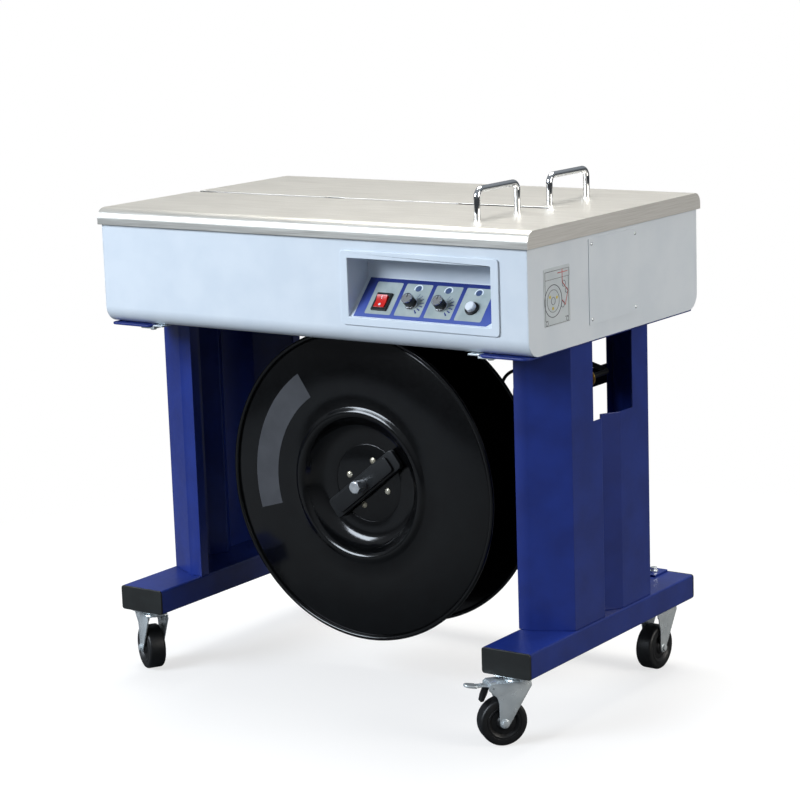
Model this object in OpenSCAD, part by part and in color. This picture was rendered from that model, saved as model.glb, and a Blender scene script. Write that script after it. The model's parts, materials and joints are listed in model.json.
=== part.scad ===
// Semi automatic strapping machine: a hinged stainless table on a cabinet with a
// control pocket, two sheet-metal legs on castors, and a strap reel under the table.
// Origin: on the floor, under the middle of the table. +X right, +Y to the back, +Z up.

/* [Table] */
// Length of the table top
table_l = 895; // [800:5:1074]
// Depth of the table top
table_w = 566; // [540:2:680]
// Height of the table top above the floor
table_h = 850; // [800:5:1020]
// Depth of the skirt around the lid
lid_skirt = 29; // [24:1:34]
// Sheet thickness of the lid
lid_t = 1.5; // [1:0.1:2]
// Outer radius of the lid's front and rear edges
lid_edge_r = 19; // [14:1:23]
// Width of the narrow strap slot
slot_w = 9; // [8:0.5:12]
// Width of the open strap mouth at the right of the slot
mouth_w = 17; // [14:1:22]

/* [Cabinet] */
// Height of the cabinet below the lid's skirt
cabinet_h = 175; // [165:1:210]
// Overhang of the lid beyond the cabinet at each end
end_overhang = 5; // [4:0.5:8]
// Overhang of the lid beyond the cabinet at front and back
side_overhang = 5.5; // [4.5:0.5:8]
// Radius of the cabinet's lower front and rear edges
roll_r = 29; // [20:1:34]
// Thickness of the cabinet's panels
panel_t = 1.5; // [1:0.1:2]

/* [Control pocket] */
// Width of the control frame
frame_w = 310; // [300:1:340]
// Height of the control frame
frame_h = 124.5; // [120:0.5:134]
// Width of the frame's border
frame_border = 15; // [12:0.5:17]
// Depth of the pocket at the top of the sloped panel
pocket_d = 54; // [50:1:65]
// Diameter of the two knobs
knob_d = 20; // [16:0.5:24]
// Diameter of the push button
button_d = 17; // [14:0.5:19]
// Travel of the push button
button_travel = 3; // [2:0.5:4]

/* [Legs and base] */
// Width of each base tube
tube_w = 94; // [90:1:113]
// Height of each base tube
tube_h = 44; // [38:1:54]
// Length of each base tube with its caps
tube_l = 553; // [500:1:664]
// Distance of each leg's middle from the table's end
leg_inset = 57.5; // [52:0.5:70]
// Depth of each leg column from front to back
leg_d = 322; // [290:1:386]
// Sheet thickness of the legs
leg_t = 2.5; // [2:0.1:4]
// Depth of the groove down the outside of each leg
groove_d = 21; // [14:1:26]
// Height of the clearance cut-out in the right leg
cut_h = 135; // [110:1:150]

/* [Castors] */
// Height from the floor to the underside of the base tubes
castor_h = 120; // [114:1:144]
// Diameter of the wheels
wheel_d = 80; // [70:1:86]
// Width of the wheels
wheel_w = 31; // [26:1:34]
// Trail of the wheel's axle behind the swivel
trail = 28; // [22:1:32]

/* [Reel] */
// Diameter of the reel's flanges
reel_d = 556; // [460:2:600]
// Outside width of the reel over its flanges
reel_w = 148; // [120:2:176]
// Diameter of the drum that carries the strap coil
drum_d = 276; // [262:2:300]
// Diameter of the reel's shaft
shaft_d = 20; // [16:1:24]

/* [Strap arm] */
// Reach of the arm from its pivot to its cross bar
arm_reach = 194; // [162:1:205]
// Diameter of the arm's rod
arm_rod_d = 9; // [8:0.5:11]

/* [Hidden] */
$fn = 48;
gap = 0.3;            // clearance between pieces that move past each other
fit = 0.05;           // radial running clearance of a shaft in its bore

// Cabinet, worked out from the table
skirt_z = table_h - lid_skirt;
cab_z = skirt_z - cabinet_h;
cab_l = table_l - 2 * end_overhang;
cab_w = table_w - 2 * side_overhang;
cab_lip = 14;         // height of the cabinet walls inside the lid
cab_top = skirt_z + cab_lip;
flange_in = 20;       // inward flange of the front and rear panels
front_y = -cab_w / 2;
right_x = cab_l / 2;
centre_y = -7;        // the slot, handles and access cover share this line
lid_under = table_h - lid_t;

// Strap slot, from left to right
slot_left_end = -cab_l / 2 + 39.5;
head_x0 = -150;
head_x1 = -112;
mouth_x0 = 132;
mouth_x1 = 319;

// Lid hinges and handles
hinge_r = 4.5;
hinge_pin_r = 2.5;
hinge_x = -table_l / 2 - 1;
hinge_z = skirt_z - hinge_r - gap;
hinge_ys = [-190, 190];
hinge_l = 60;
knuckle = hinge_l / 3;
leaf_t = 1.5;
leaf_h = 22;
handle_x = table_l / 2 - 160;
handle_pitch = 122;
handle_dy = 112;      // middle of each handle from the slot's line
handle_h = 48;
handle_r = 5.5;
handle_bend = 14;
stud_r = 3;

// Access cover and its opening on the right end
cover_y = centre_y - 5;
cover_w = 160;
cover_h = 142;
cover_z = skirt_z - 7 - cover_h / 2;
cover_t = 1.5;
screw_in = 9;
screw_r = 1.5;
plate_y = -191;       // strap path plate on the right end
plate_w = 80;
plate_h = 94;
plate_z = skirt_z - 85;
plate_t = 0.6;

// Control frame and sloped panel
frame_x = right_x - 207.5;
frame_z = cab_z + 32.5 + frame_h / 2;
frame_proud = 3;
frame_t = 2;
win_w = frame_w - 2 * frame_border;
win_h = frame_h - 2 * frame_border + 4;
win_z0 = frame_z - win_h / 2;
win_z1 = frame_z + win_h / 2;
slope_h = 57;         // rise of the sloped panel
slope_a = atan2(slope_h, pocket_d);
slope_l = norm([slope_h, pocket_d]);
label_t = 0.8;
label_w = win_w - 10;
block_pitch = 59;
block_x0 = frame_x - 1.5 * block_pitch;
control_v = 31;       // height of the controls up the slope
rocker_bezel = [30.5, 34.5];
rocker_size = [21, 25];
bezel_t = 3;
rocker_pivot = -2;
rocker_tilt = 7;      // the lower end is pressed in
slope_wall = 6.4;     // from the sloped panel's face to the nut side of the pots behind it
pot_r = 8;
bush_r = 3.5;
spindle_r = 3;
knob_h = 20;
collar_r = button_d / 2 + 3.5;
collar_t = 4;
button_proud = 10;

// Legs and base
tube_z0 = castor_h;
tube_z1 = castor_h + tube_h;
base_y = -10;
leg_x = table_l / 2 - leg_inset;
tube_wall = 3;
cap_t = 4;
top_plate_t = 4;
top_plate_l = cab_w - 6;
col_in = leg_x - tube_w / 2 + 1;
col_out = leg_x + tube_w / 2 - 4;
strip_x = col_in + 25;        // end of the narrow front strip
side_half = leg_d / 2 - 35;   // half length of the outer face
groove_half = 31;
lip_l = 20;
cut_half = 65;
cut_y = 8;
leg_z1 = cab_z - top_plate_t;

// Castors: plate, swivel place, direction of trail
cap_to_swivel = 34;
swivel_y = tube_l / 2 - cap_to_swivel;
swivel_ys = [base_y - swivel_y, base_y + swivel_y];
fl_turn = 149;
fr_turn = 229;
rl_turn = 90;
rr_turn = 268;
plate_size = [62, 56];
plate_bolts = [46, 40];
castor_plate_t = 3;
race_r = 22;
race_t = 5;
kingpin_r = 5;
crown_r = 23;
crown_t = 3.5;
crown_z = castor_h - castor_plate_t - race_t - gap - crown_t;
fork_t = 2.5;
fork_in = wheel_w + 4;
axle_r = 4;
axle_head_r = 7;
wheel_r = wheel_d / 2;
pedal_x = 46;
pedal_z = crown_z - 7;
pedal_pin_r = 2;
pedal_l = 95;
pedal_w = 20;

// Reel
reel_r = reel_d / 2;
reel_z = cab_z - 3 - reel_r;
reel_x = 0;
reel_y1 = 6;                  // outer face of the rear flange
reel_y0 = reel_y1 - reel_w;   // rim plane of the front flange
flange_t = 3;
bead_r = 4;
drum_r = drum_d / 2;
dish_r = drum_r - 9;          // crown of the ring around the dish
disc_r = 73;
dish_d = 30;
disc_y = reel_y0 + dish_d;
hub_r = 16;
shaft_r = shaft_d / 2;
reel_screw_ring = 42;
bar_l = 170;
bar_w = 38;
bar_t = 16;
bar_turn = 38;
bar_y1 = disc_y - 4;          // back face of the locking bar
bar_y0 = bar_y1 - bar_t;
shaft_end = bar_y0 - 24;
hanger_y0 = reel_y1 + 22;
hanger_w = 60;
hanger_d = 40;
hanger_t = 4;

// Strap arm under the table
arm_r = arm_rod_d / 2;
arm_x = 200;
arm_z = cab_z - 22;
arm_ys = [-64, 50];
arm_slope = 16;
arm_bend = 10;
arm_len = arm_reach / cos(arm_slope);
roller_r = 12;
roller_l = 30;
roller_y = -35;
guide_y = 75;
guide_r = 3;
guide_top = cab_z - 96;

// Floor tray and what stands on it
tray_t = 2;
tray_z0 = cab_z + panel_t;
tray_z1 = tray_z0 + tray_t;
head_x = (head_x0 + head_x1) / 2;
head_l = 150;
head_plate_t = 10;
head_ys = [centre_y - 45, centre_y + 35];
head_top = lid_under - 22;
cam_z = head_top - 52;
cam_r = 8;
cam_xs = [-40, -14, 12, 38];
cam_gear_r = 30;
pinion_r = 12;
gear_w = 12;
pinion_shaft_r = 5;
pinion_y = centre_y + cam_gear_r + pinion_r + gap;
cam_gear_x = head_x + head_l / 2 + 14;
motor_r = 46;
motor_l = 120;
gearbox_l = 44;
motor_x = cam_gear_x + gear_w / 2 + 6;
anvil_t = 3;
anvil_l = head_x1 - head_x0 - 2;
anvil_w = mouth_w - 3;
anvil_travel = 14;
anvil_key = 10;
anvil_z = lid_under - gap - anvil_t;
feed_x = 60;
feed_r = 20;
feed_w = 18;
feed_shaft_r = 5;
feed_z = table_h - 70;

// ---------- shared shapes ----------

// a section drawn as (y, z), drawn out along X from x0 to x1
module along_x(x0, x1) {
    translate([x0, 0, 0]) rotate([90, 0, 90]) linear_extrude(x1 - x0) children();
}

// a section drawn as (x, z), drawn out along Y from y0 to y1
module along_y(y0, y1) {
    translate([0, y1, 0]) rotate([90, 0, 0]) linear_extrude(y1 - y0) children();
}

// a cylinder along Y from y0 to y1
module rod_y(r, y0, y1) {
    translate([0, y1, 0]) rotate([90, 0, 0]) cylinder(r = r, h = y1 - y0);
}

// a cylinder along X from x0 to x1
module rod_x(r, x0, x1) {
    translate([x0, 0, 0]) rotate([0, 90, 0]) cylinder(r = r, h = x1 - x0);
}

// a rectangle w by h about the origin with round corners
module round_rect(w, h, r) {
    square([w - 2 * r, h], center = true);
    square([w, h - 2 * r], center = true);
    for (x = [-1, 1], y = [-1, 1])
        translate([x * (w / 2 - r), y * (h / 2 - r)]) circle(r);
}

function unit(v) = v / norm(v);
function left_of(v) = [-v[1], v[0]];

// the point that lies d to the left of a path at its point i, with mitred bends
function beside(pts, i, d) = let (
        last = len(pts) - 1,
        before = left_of(unit(i == 0 ? pts[1] - pts[0] : pts[i] - pts[i - 1])),
        after = left_of(unit(i == last ? pts[i] - pts[i - 1] : pts[i + 1] - pts[i])),
        middle = unit(before + after))
    pts[i] + middle * d / (middle * before);

// a band of sheet t thick along a path of points
module sheet_path(pts, t) {
    last = len(pts) - 1;
    polygon(concat([for (i = [0 : last]) beside(pts, i, t / 2)],
        [for (i = [last : -1 : 0]) beside(pts, i, -t / 2)]));
}

// a bent rod: a quarter turn of bend radius b from angle a, in the XY plane
module elbow(r, b, a) {
    rotate([0, 0, a]) rotate_extrude(angle = 90) translate([b, 0]) circle(r, $fn = 24);
}

module hex_bolt(r, l, head_r, head_h) {
    cylinder(r = head_r, h = head_h, $fn = 6);
    translate([0, 0, -l]) cylinder(r = r, h = l);
}

module pan_screw(r, l) {
    intersection() {
        cylinder(r = 2 * r, h = r);
        translate([0, 0, -2 * r]) sphere(r = 3 * r);
    }
    translate([0, 0, -l]) cylinder(r = r, h = l);
}

// ---------- cabinet ----------

// the cabinet's cross section as (y, z), drawn in by d
module cabinet_section(d, top) {
    translate([-cab_w / 2 + d, cab_z + roll_r])
        square([cab_w - 2 * d, top - cab_z - roll_r]);
    translate([-cab_w / 2 + roll_r, cab_z + d])
        square([cab_w - 2 * roll_r, roll_r]);
    for (s = [-1, 1])
        translate([s * (cab_w / 2 - roll_r), cab_z + roll_r]) circle(roll_r - d);
}

module side_panel() {
    along_x(-cab_l / 2 + panel_t, cab_l / 2 - panel_t) intersection() {
        difference() {
            cabinet_section(0, cab_top);
            cabinet_section(panel_t, cab_top + 1);
        }
        translate([-cab_w / 2, cab_z]) square([roll_r + flange_in, cab_top - cab_z]);
    }
}

module front_panel() {
    color("#d9e4f2") difference() {
        side_panel();
        translate([frame_x, front_y + roll_r, frame_z]) rotate([90, 0, 0])
            linear_extrude(2 * roll_r)
                square([win_w + 2 * frame_t + 1, win_h + 2 * frame_t + 1], center = true);
    }
}

module rear_panel() {
    color("#d9e4f2") difference() {
        mirror([0, 1, 0]) side_panel();
        translate([right_x - 70, cab_w / 2 - 5, cab_z + 70]) cube([28.4, 10, 48.4], center = false);
        for (i = [0 : 9])
            translate([-280 + 16 * i, cab_w / 2 - 5, cab_z + 60]) cube([6, 10, 70]);
    }
}

module end_panel() {
    along_x(0, panel_t) cabinet_section(0, cab_top);
}

module left_end_panel() {
    color("#d9e4f2") translate([-cab_l / 2, 0, 0]) end_panel();
}

module right_end_panel() {
    color("#d3dce6") difference() {
        union() {
            translate([right_x - panel_t, 0, 0]) end_panel();
            // tabs under the closed lid
            for (y = [-1, 1]) translate([right_x - panel_t, y * 190 - 15, cab_top - 1])
                cube([panel_t, 30, lid_under - gap - cab_top + 1]);
        }
        translate([right_x - 10, cover_y - cover_w / 2 + 15, cover_z - cover_h / 2 + 15])
            cube([20, cover_w - 30, cover_h - 30]);
        cover_screw_places() rod_x(screw_r + fit, -8, 0.1);
    }
}

module cover_screw_places() {
    for (y = [-1, 1], z = [-1, 1])
        translate([right_x, cover_y + y * (cover_w / 2 - screw_in),
            cover_z + z * (cover_h / 2 - screw_in)]) children();
}

module access_cover() {
    color("#d3dce6") difference() {
        translate([right_x, cover_y, cover_z]) rotate([90, 0, 90]) linear_extrude(cover_t)
            round_rect(cover_w, cover_h, 2);
        cover_screw_places() rod_x(screw_r + fit, -1, cover_t + 1);
    }
}

module path_plate() {
    color("#c9cbc4") translate([right_x, plate_y, plate_z]) rotate([90, 0, 90])
        linear_extrude(plate_t) round_rect(plate_w, plate_h, 4);
}

// steel floor of the cabinet, lying on the flanges of the front and rear panels
module floor_tray() {
    tray_w = cab_w - 2 * roll_r - 2;
    color("#8a8f96") difference() {
        translate([-cab_l / 2 + panel_t + gap, -tray_w / 2, tray_z0])
            cube([cab_l - 2 * panel_t - 2 * gap, tray_w, tray_t]);
        translate([mouth_x1 - 70, centre_y - 24, tray_z0 - 1]) cube([90, 48, tray_t + 2]);
        for (i = [0 : 7])
            translate([-280 + 18 * i, 120, tray_z0 - 1]) cube([8, 70, tray_t + 2]);
        hanger_bolt_places() translate([0, 0, -9]) cylinder(r = 4.05, h = 20);
    }
}

// ---------- control pocket ----------

// places its children on the sloped panel: u along X, v up the slope, Z out of it
module on_slope(u, v, out = 0) {
    translate([u, front_y, win_z0 + 2]) rotate([slope_a, 0, 0])
        translate([0, v, out]) children();
}

function control_x(i) = block_x0 + i * block_pitch;

module control_frame() {
    back_y = front_y + pocket_d + 2;
    color("#dfe7f3") difference() {
        union() {
            translate([frame_x, front_y, frame_z]) rotate([90, 0, 0])
                linear_extrude(frame_proud) round_rect(frame_w, frame_h, 7);
            translate([frame_x - win_w / 2 - frame_t, front_y - 1, win_z0 - frame_t])
                cube([win_w + 2 * frame_t, pocket_d + 3 + frame_t, win_h + 2 * frame_t]);
        }
        // open space of the pocket above the slope
        along_x(frame_x - win_w / 2, frame_x + win_w / 2) polygon([
            [front_y - 10, win_z0], [front_y, win_z0 + 2 - label_t / cos(slope_a)],
            [front_y + pocket_d, win_z0 + 2 - label_t / cos(slope_a) + slope_h],
            [back_y, win_z0 + slope_h + 2], [back_y, win_z1], [front_y - 10, win_z1]]);
        // open space behind the slope
        along_x(frame_x - win_w / 2, frame_x + win_w / 2) polygon([
            [front_y + 5, win_z0 - 10], [front_y + 5, win_z0],
            [back_y - 2, win_z0 + slope_h - 6.5], [back_y + 10, win_z0 + slope_h - 6.5],
            [back_y + 10, win_z0 - 10]]);
        on_slope(control_x(0), control_v) linear_extrude(30, center = true)
            square([rocker_bezel[0] - 5, rocker_bezel[1] - 5], center = true);
        for (i = [1, 2])
            on_slope(control_x(i), control_v, -15) cylinder(r = bush_r + fit, h = 30);
        on_slope(control_x(3), control_v, -15) cylinder(r = collar_r - 2 + fit, h = 30);
    }
}

module control_label() {
    color("#2b3f98") difference() {
        on_slope(frame_x, slope_l / 2, -label_t) linear_extrude(label_t)
            square([label_w, slope_l - 2], center = true);
        on_slope(control_x(0), control_v) linear_extrude(30, center = true)
            square([rocker_bezel[0] - 5, rocker_bezel[1] - 5], center = true);
        for (i = [1, 2])
            on_slope(control_x(i), control_v, -15) cylinder(r = bush_r + fit, h = 30);
        on_slope(control_x(3), control_v, -15) cylinder(r = collar_r - 2 + fit, h = 30);
    }
}

module switch_housing() {
    body = [rocker_bezel[0] - 5, rocker_bezel[1] - 5];
    color("#1b1b1d") difference() {
        union() {
            on_slope(control_x(0), control_v) linear_extrude(bezel_t)
                round_rect(rocker_bezel[0], rocker_bezel[1], 1.5);
            on_slope(control_x(0), control_v, -22) linear_extrude(22 + 1)
                square(body, center = true);
        }
        on_slope(control_x(0), control_v, -12) linear_extrude(30)
            square([rocker_size[0] + 2 * gap, rocker_size[1] + 2 * gap], center = true);
        on_slope(control_x(0), control_v, rocker_pivot)
            rod_x(1.5 + fit, -rocker_size[0] / 2 - 1.4, rocker_size[0] / 2 + 1.4);
    }
}

module rocker() {
    half = rocker_size[1] / 2;
    color("#d8201c") on_slope(control_x(0), control_v, rocker_pivot) rotate([rocker_tilt, 0, 0]) {
        along_x(-rocker_size[0] / 2, rocker_size[0] / 2) polygon([
            [-half + 1.5, 3], [-half + 1, 8.5], [0, 6.4], [half - 1, 8.5], [half - 1.5, 3],
            [half - 6, -4], [-half + 6, -4]]);
        rod_x(1.5, -rocker_size[0] / 2 - 1, rocker_size[0] / 2 + 1);
    }
}

module knob_pots() {
    color("#6f7274") for (i = [1, 2]) difference() {
        union() {
            on_slope(control_x(i), control_v, -16) cylinder(r = pot_r, h = 16 - slope_wall);
            on_slope(control_x(i), control_v, -slope_wall - 1) cylinder(r = bush_r, h = slope_wall + 6);
        }
        on_slope(control_x(i), control_v, -10) cylinder(r = spindle_r + fit, h = 30);
    }
}

module knob(i) {
    color("#17181a") on_slope(control_x(i), control_v, 1) {
        difference() {
            union() {
                cylinder(r = knob_d / 2 + 1.5, h = 2.5);
                cylinder(r = knob_d / 2, h = knob_h - 3);
                translate([0, 0, knob_h - 3]) cylinder(r = knob_d / 2 - 1, h = 3);
            }
            translate([0, 0, -1]) cylinder(r = bush_r + 1.5, h = 7);
        }
        translate([0, 0, -9]) cylinder(r = spindle_r, h = 16);
    }
}

module feed_knob() { knob(1); }

module tension_knob() { knob(2); }

module button_housing() {
    color("#17181a") difference() {
        union() {
            on_slope(control_x(3), control_v) cylinder(r = collar_r, h = collar_t);
            on_slope(control_x(3), control_v, -18) cylinder(r = collar_r - 2, h = 19);
        }
        on_slope(control_x(3), control_v, -14) cylinder(r = button_d / 2 + fit, h = 40);
    }
}

module push_button() {
    color("white") on_slope(control_x(3), control_v, -14 + button_travel + gap) {
        cylinder(r = button_d / 2, h = 12 + button_proud - 1);
        translate([0, 0, 12 + button_proud - 1]) cylinder(r = button_d / 2 - 1, h = 1);
    }
}

// ---------- legs and base ----------

// the bent path of the right leg's sheet, seen from above
function leg_path() = let (
        half = leg_d / 2 - leg_t / 2,
        front = [[col_in, half - lip_l], [col_in, half], [strip_x, half],
            [col_out - leg_t / 2, side_half], [col_out - leg_t / 2, groove_half]])
    concat([for (p = front) [p[0], -p[1]]], [[col_out - groove_d, 0]],
        [for (i = [len(front) - 1 : -1 : 0]) front[i]]);

module leg_column() {
    translate([0, base_y, tube_z1]) linear_extrude(leg_z1 - tube_z1)
        sheet_path(leg_path(), leg_t);
}

module left_leg() {
    color("#26337f") mirror([1, 0, 0]) leg_column();
}

module right_leg() {
    color("#26337f") difference() {
        leg_column();
        translate([strip_x + 8, base_y + cut_y - cut_half, leg_z1 - cut_h])
            cube([tube_w, 2 * cut_half, cut_h + 1]);
    }
}

module top_plates() {
    color("#26337f") for (s = [-1, 1]) translate([s * leg_x, 0, leg_z1])
        linear_extrude(top_plate_t) difference() {
            round_rect(tube_w, top_plate_l, 12);
            for (y = clip_ys()) translate([-s * (tube_w / 2 - 12), y]) circle(3.3);
        }
}

function clip_ys() = [-cab_w / 2 + roll_r - 5, cab_w / 2 - roll_r + 5];

// zinc clips that hold the cabinet's flanges down on the top plates
module tray_clips() {
    color("#c9d0cc") for (s = [-1, 1], y = clip_ys())
        mirror([s < 0 ? 1 : 0, 0, 0]) translate([leg_x - tube_w / 2, y, 0]) difference() {
            union() {
                translate([-3, -16, leg_z1 - 3]) cube([30, 32, 3]);
                translate([-3, -16, leg_z1 - 3]) cube([3, 32, top_plate_t + 3]);
                translate([-22, -16, cab_z - 3]) cube([22, 32, 3]);
            }
            translate([12, 0, leg_z1 - 10]) cylinder(r = 3.3, h = 20);
        }
}

module tube_section() {
    difference() {
        round_rect(tube_w, tube_h, 4);
        round_rect(tube_w - 2 * tube_wall, tube_h - 2 * tube_wall, 1.5);
    }
}

module base_tubes() {
    half = tube_l / 2 - cap_t;
    color("#26337f") for (s = [-1, 1]) difference() {
        translate([s * leg_x, base_y, castor_h + tube_h / 2]) along_y(-half, half)
            tube_section();
        tube_holes(s);
    }
}

module tube_holes(s) {
    castor_bolt_places(s) translate([0, 0, -10]) cylinder(r = 3.3, h = 22);
    translate([s * stretcher_bolt_x(), stretcher_y, tube_z1 - 20]) cylinder(r = 4.2, h = 40);
}

module tube_caps() {
    color("#1c1d1f") for (s = [-1, 1], e = [-1, 1])
        translate([s * leg_x, base_y + e * (tube_l / 2 - cap_t / 2), castor_h + tube_h / 2]) {
            along_y(-cap_t / 2, cap_t / 2) round_rect(tube_w, tube_h, 5);
            // the plug ends before the castor's bolts
            translate([0, -e * 4, 0]) along_y(-2.5, 2.5) difference() {
                round_rect(tube_w - 2 * tube_wall - 0.6, tube_h - 2 * tube_wall - 0.6, 1.5);
                square([tube_w - 2 * tube_wall - 8, tube_h - 2 * tube_wall - 8], center = true);
            }
        }
}

stretcher_y = swivel_ys[1] + 6;
stretcher_w = 40;
stretcher_h = 25;
stretcher_plate = [44, 46, 4];
washer_t = 2.5;       // plain and spring washer under the bolt's head
function stretcher_bolt_x() = leg_x - tube_w / 2 + 28;

// square tube between the base tubes, welded to a plate on top of each
module rear_stretcher() {
    end_x = leg_x - tube_w / 2 - gap;
    color("#26337f") {
        translate([0, stretcher_y, tube_z1 - stretcher_h / 2]) along_x(-end_x, end_x)
            difference() {
                square([stretcher_w, stretcher_h], center = true);
                square([stretcher_w - 4, stretcher_h - 4], center = true);
            }
        for (s = [-1, 1]) translate([s * (end_x + 17), stretcher_y, tube_z1])
            difference() {
                linear_extrude(stretcher_plate[2])
                    square([2 * 17 + 2 * 10, stretcher_plate[1]], center = true);
                translate([s * (stretcher_bolt_x() - end_x - 17), 0, -1])
                    cylinder(r = 4.2, h = 10);
            }
    }
}

// all bolts and screws of the frame: castors, stretcher, clips, reel hanger and cover
module frame_bolts() {
    color("#b9bdbf") {
        cover_screw_places() translate([cover_t, 0, 0]) rotate([0, 90, 0]) pan_screw(screw_r, 7);
        for (s = [-1, 1]) {
            castor_bolt_places(s) translate([0, 0, -castor_plate_t]) mirror([0, 0, 1])
                hex_bolt(3, castor_plate_t + tube_wall + 8, 5.5, 3.5);
            translate([s * stretcher_bolt_x(), stretcher_y, tube_z1 + stretcher_plate[2]]) {
                cylinder(r = 8, h = washer_t);
                translate([0, 0, washer_t]) hex_bolt(4, 28, 6.5, 5.5);
            }
            for (y = clip_ys()) translate([s * (leg_x - tube_w / 2 + 12), y, leg_z1 - 3])
                mirror([0, 0, 1]) hex_bolt(3, top_plate_t + 3, 5.5, 4);
        }
        hanger_bolt_places() translate([0, 0, tray_t]) hex_bolt(4, 14, 7.5, 5.5);
    }
}

// ---------- castors ----------

module castor_bolt_places(s) {
    for (y = swivel_ys, dx = [-1, 1], dy = [-1, 1])
        translate([s * leg_x + dx * plate_bolts[0] / 2, y + dy * plate_bolts[1] / 2, castor_h])
            children();
}

module castor_plates() {
    color("#c3c9cb") for (s = [-1, 1], y = swivel_ys) difference() {
        union() {
            translate([s * leg_x, y, castor_h - castor_plate_t])
                linear_extrude(castor_plate_t) round_rect(plate_size[0], plate_size[1], 5);
            translate([s * leg_x, y, castor_h - castor_plate_t - race_t])
                cylinder(r1 = race_r - 2, r2 = race_r, h = race_t);
            translate([s * leg_x, y, crown_z - 5]) cylinder(r = kingpin_r, h = 12);
            translate([s * leg_x, y, crown_z - 5]) cylinder(r = 9, h = 5 - gap);
        }
        for (dx = [-1, 1], dy = [-1, 1])
            translate([s * leg_x + dx * plate_bolts[0] / 2, y + dy * plate_bolts[1] / 2,
                castor_h - 10]) cylinder(r = 3.3, h = 20);
    }
}

// fork with its axle, trailing towards +X; braked forks carry ears for the pedal's pin
module fork(braked) {
    z0 = wheel_r;
    top = crown_z;
    ears = braked ? 54 : 44;
    color("#c3c9cb") {
        difference() {
            translate([0, 0, crown_z]) cylinder(r = crown_r, h = crown_t);
            translate([0, 0, crown_z - 1]) cylinder(r = kingpin_r + fit, h = crown_t + 2);
        }
        for (s = [-1, 1]) {
            y = s * (fork_in / 2 + fork_t / 2);
            translate([0, y, 0]) difference() {
                along_y(-fork_t / 2, fork_t / 2) {
                    polygon([[-18, top + 1], [-19, top - 8], [trail - 9, z0 + 4],
                        [trail - 9, z0], [trail + 9, z0], [trail + 9, z0 + 24],
                        [ears, pedal_z - 6], [ears, pedal_z + 3], [ears - 6, top + 1]]);
                    translate([trail, z0]) circle(9);
                }
                if (braked) translate([pedal_x, 0, pedal_z]) rod_y(pedal_pin_r + fit, -5, 5);
            }
        }
        for (e = [-17, 26]) translate([e, -fork_in / 2 - 1, crown_z]) cube([2, fork_in + 2, 1]);
        translate([trail, 0, z0]) {
            rod_y(axle_r, -fork_in / 2 - fork_t - 6, fork_in / 2 + fork_t + 1);
            rod_y(axle_head_r, fork_in / 2 + fork_t, fork_in / 2 + fork_t + 4);
            translate([0, -fork_in / 2 - fork_t, 0]) rotate([90, 0, 0])
                cylinder(r = axle_head_r, h = 5, $fn = 6);
        }
    }
}

module castor(i_x, i_y, turn) {
    translate([i_x * leg_x, swivel_ys[i_y], 0]) rotate([0, 0, turn]) children();
}

module wheel() {
    color("#16171a") translate([trail, 0, wheel_r]) rotate([90, 0, 0]) rotate_extrude()
        difference() {
            union() {
                translate([axle_r + fit, -wheel_w / 2 - 1]) square([9, wheel_w + 2]);
                translate([axle_r + fit, -5]) square([wheel_r - 14, 10]);
                translate([wheel_r - 16, -wheel_w / 2]) square([11, wheel_w]);
                translate([wheel_r - 5, -wheel_w / 2 + 5]) square([5, wheel_w - 10]);
                for (s = [-1, 1]) translate([wheel_r - 5, s * (wheel_w / 2 - 5)]) circle(5);
            }
            translate([-10, -20]) square([10 + axle_r + fit, 40]);
        }
}

module pedal() {
    y = fork_in / 2 - gap;
    color("#c3c9cb") {
        translate([pedal_x, 0, pedal_z]) rod_y(pedal_pin_r, -fork_in / 2 - fork_t, fork_in / 2 + fork_t);
        translate([pedal_x, 0, pedal_z]) along_y(-y, y) {
            circle(4);
            translate([0, -1]) square([9, 3]);
        }
        translate([pedal_x, 0, pedal_z]) along_y(-pedal_w / 2, pedal_w / 2) {
            translate([0, -1]) square([pedal_l - pedal_x - 3, 3]);
            translate([pedal_l - pedal_x - 3, 0.5]) circle(3);
        }
        translate([pedal_x, 0, pedal_z]) along_y(-8, 8)
            polygon([[5, -1], [12, -1], [20, -16], [22, -26], [17, -25], [11, -13]]);
    }
}

module fork_front_left() { castor(-1, 0, fl_turn) fork(true); }

module fork_front_right() { castor(1, 0, fr_turn) fork(true); }

module fork_rear_left() { castor(-1, 1, rl_turn) fork(false); }

module fork_rear_right() { castor(1, 1, rr_turn) fork(false); }

module wheel_front_left() { castor(-1, 0, fl_turn) wheel(); }

module wheel_front_right() { castor(1, 0, fr_turn) wheel(); }

module wheel_rear_left() { castor(-1, 1, rl_turn) wheel(); }

module wheel_rear_right() { castor(1, 1, rr_turn) wheel(); }

module pedal_left() { castor(-1, 0, fl_turn) pedal(); }

module pedal_right() { castor(1, 0, fr_turn) pedal(); }

// ---------- reel ----------

module hanger_bolt_places() {
    for (dx = [-1, 1], dy = [-1, 1])
        translate([reel_x + dx * 42, hanger_y0 + hanger_d / 2 + dy * 22, tray_z0]) children();
}

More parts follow.
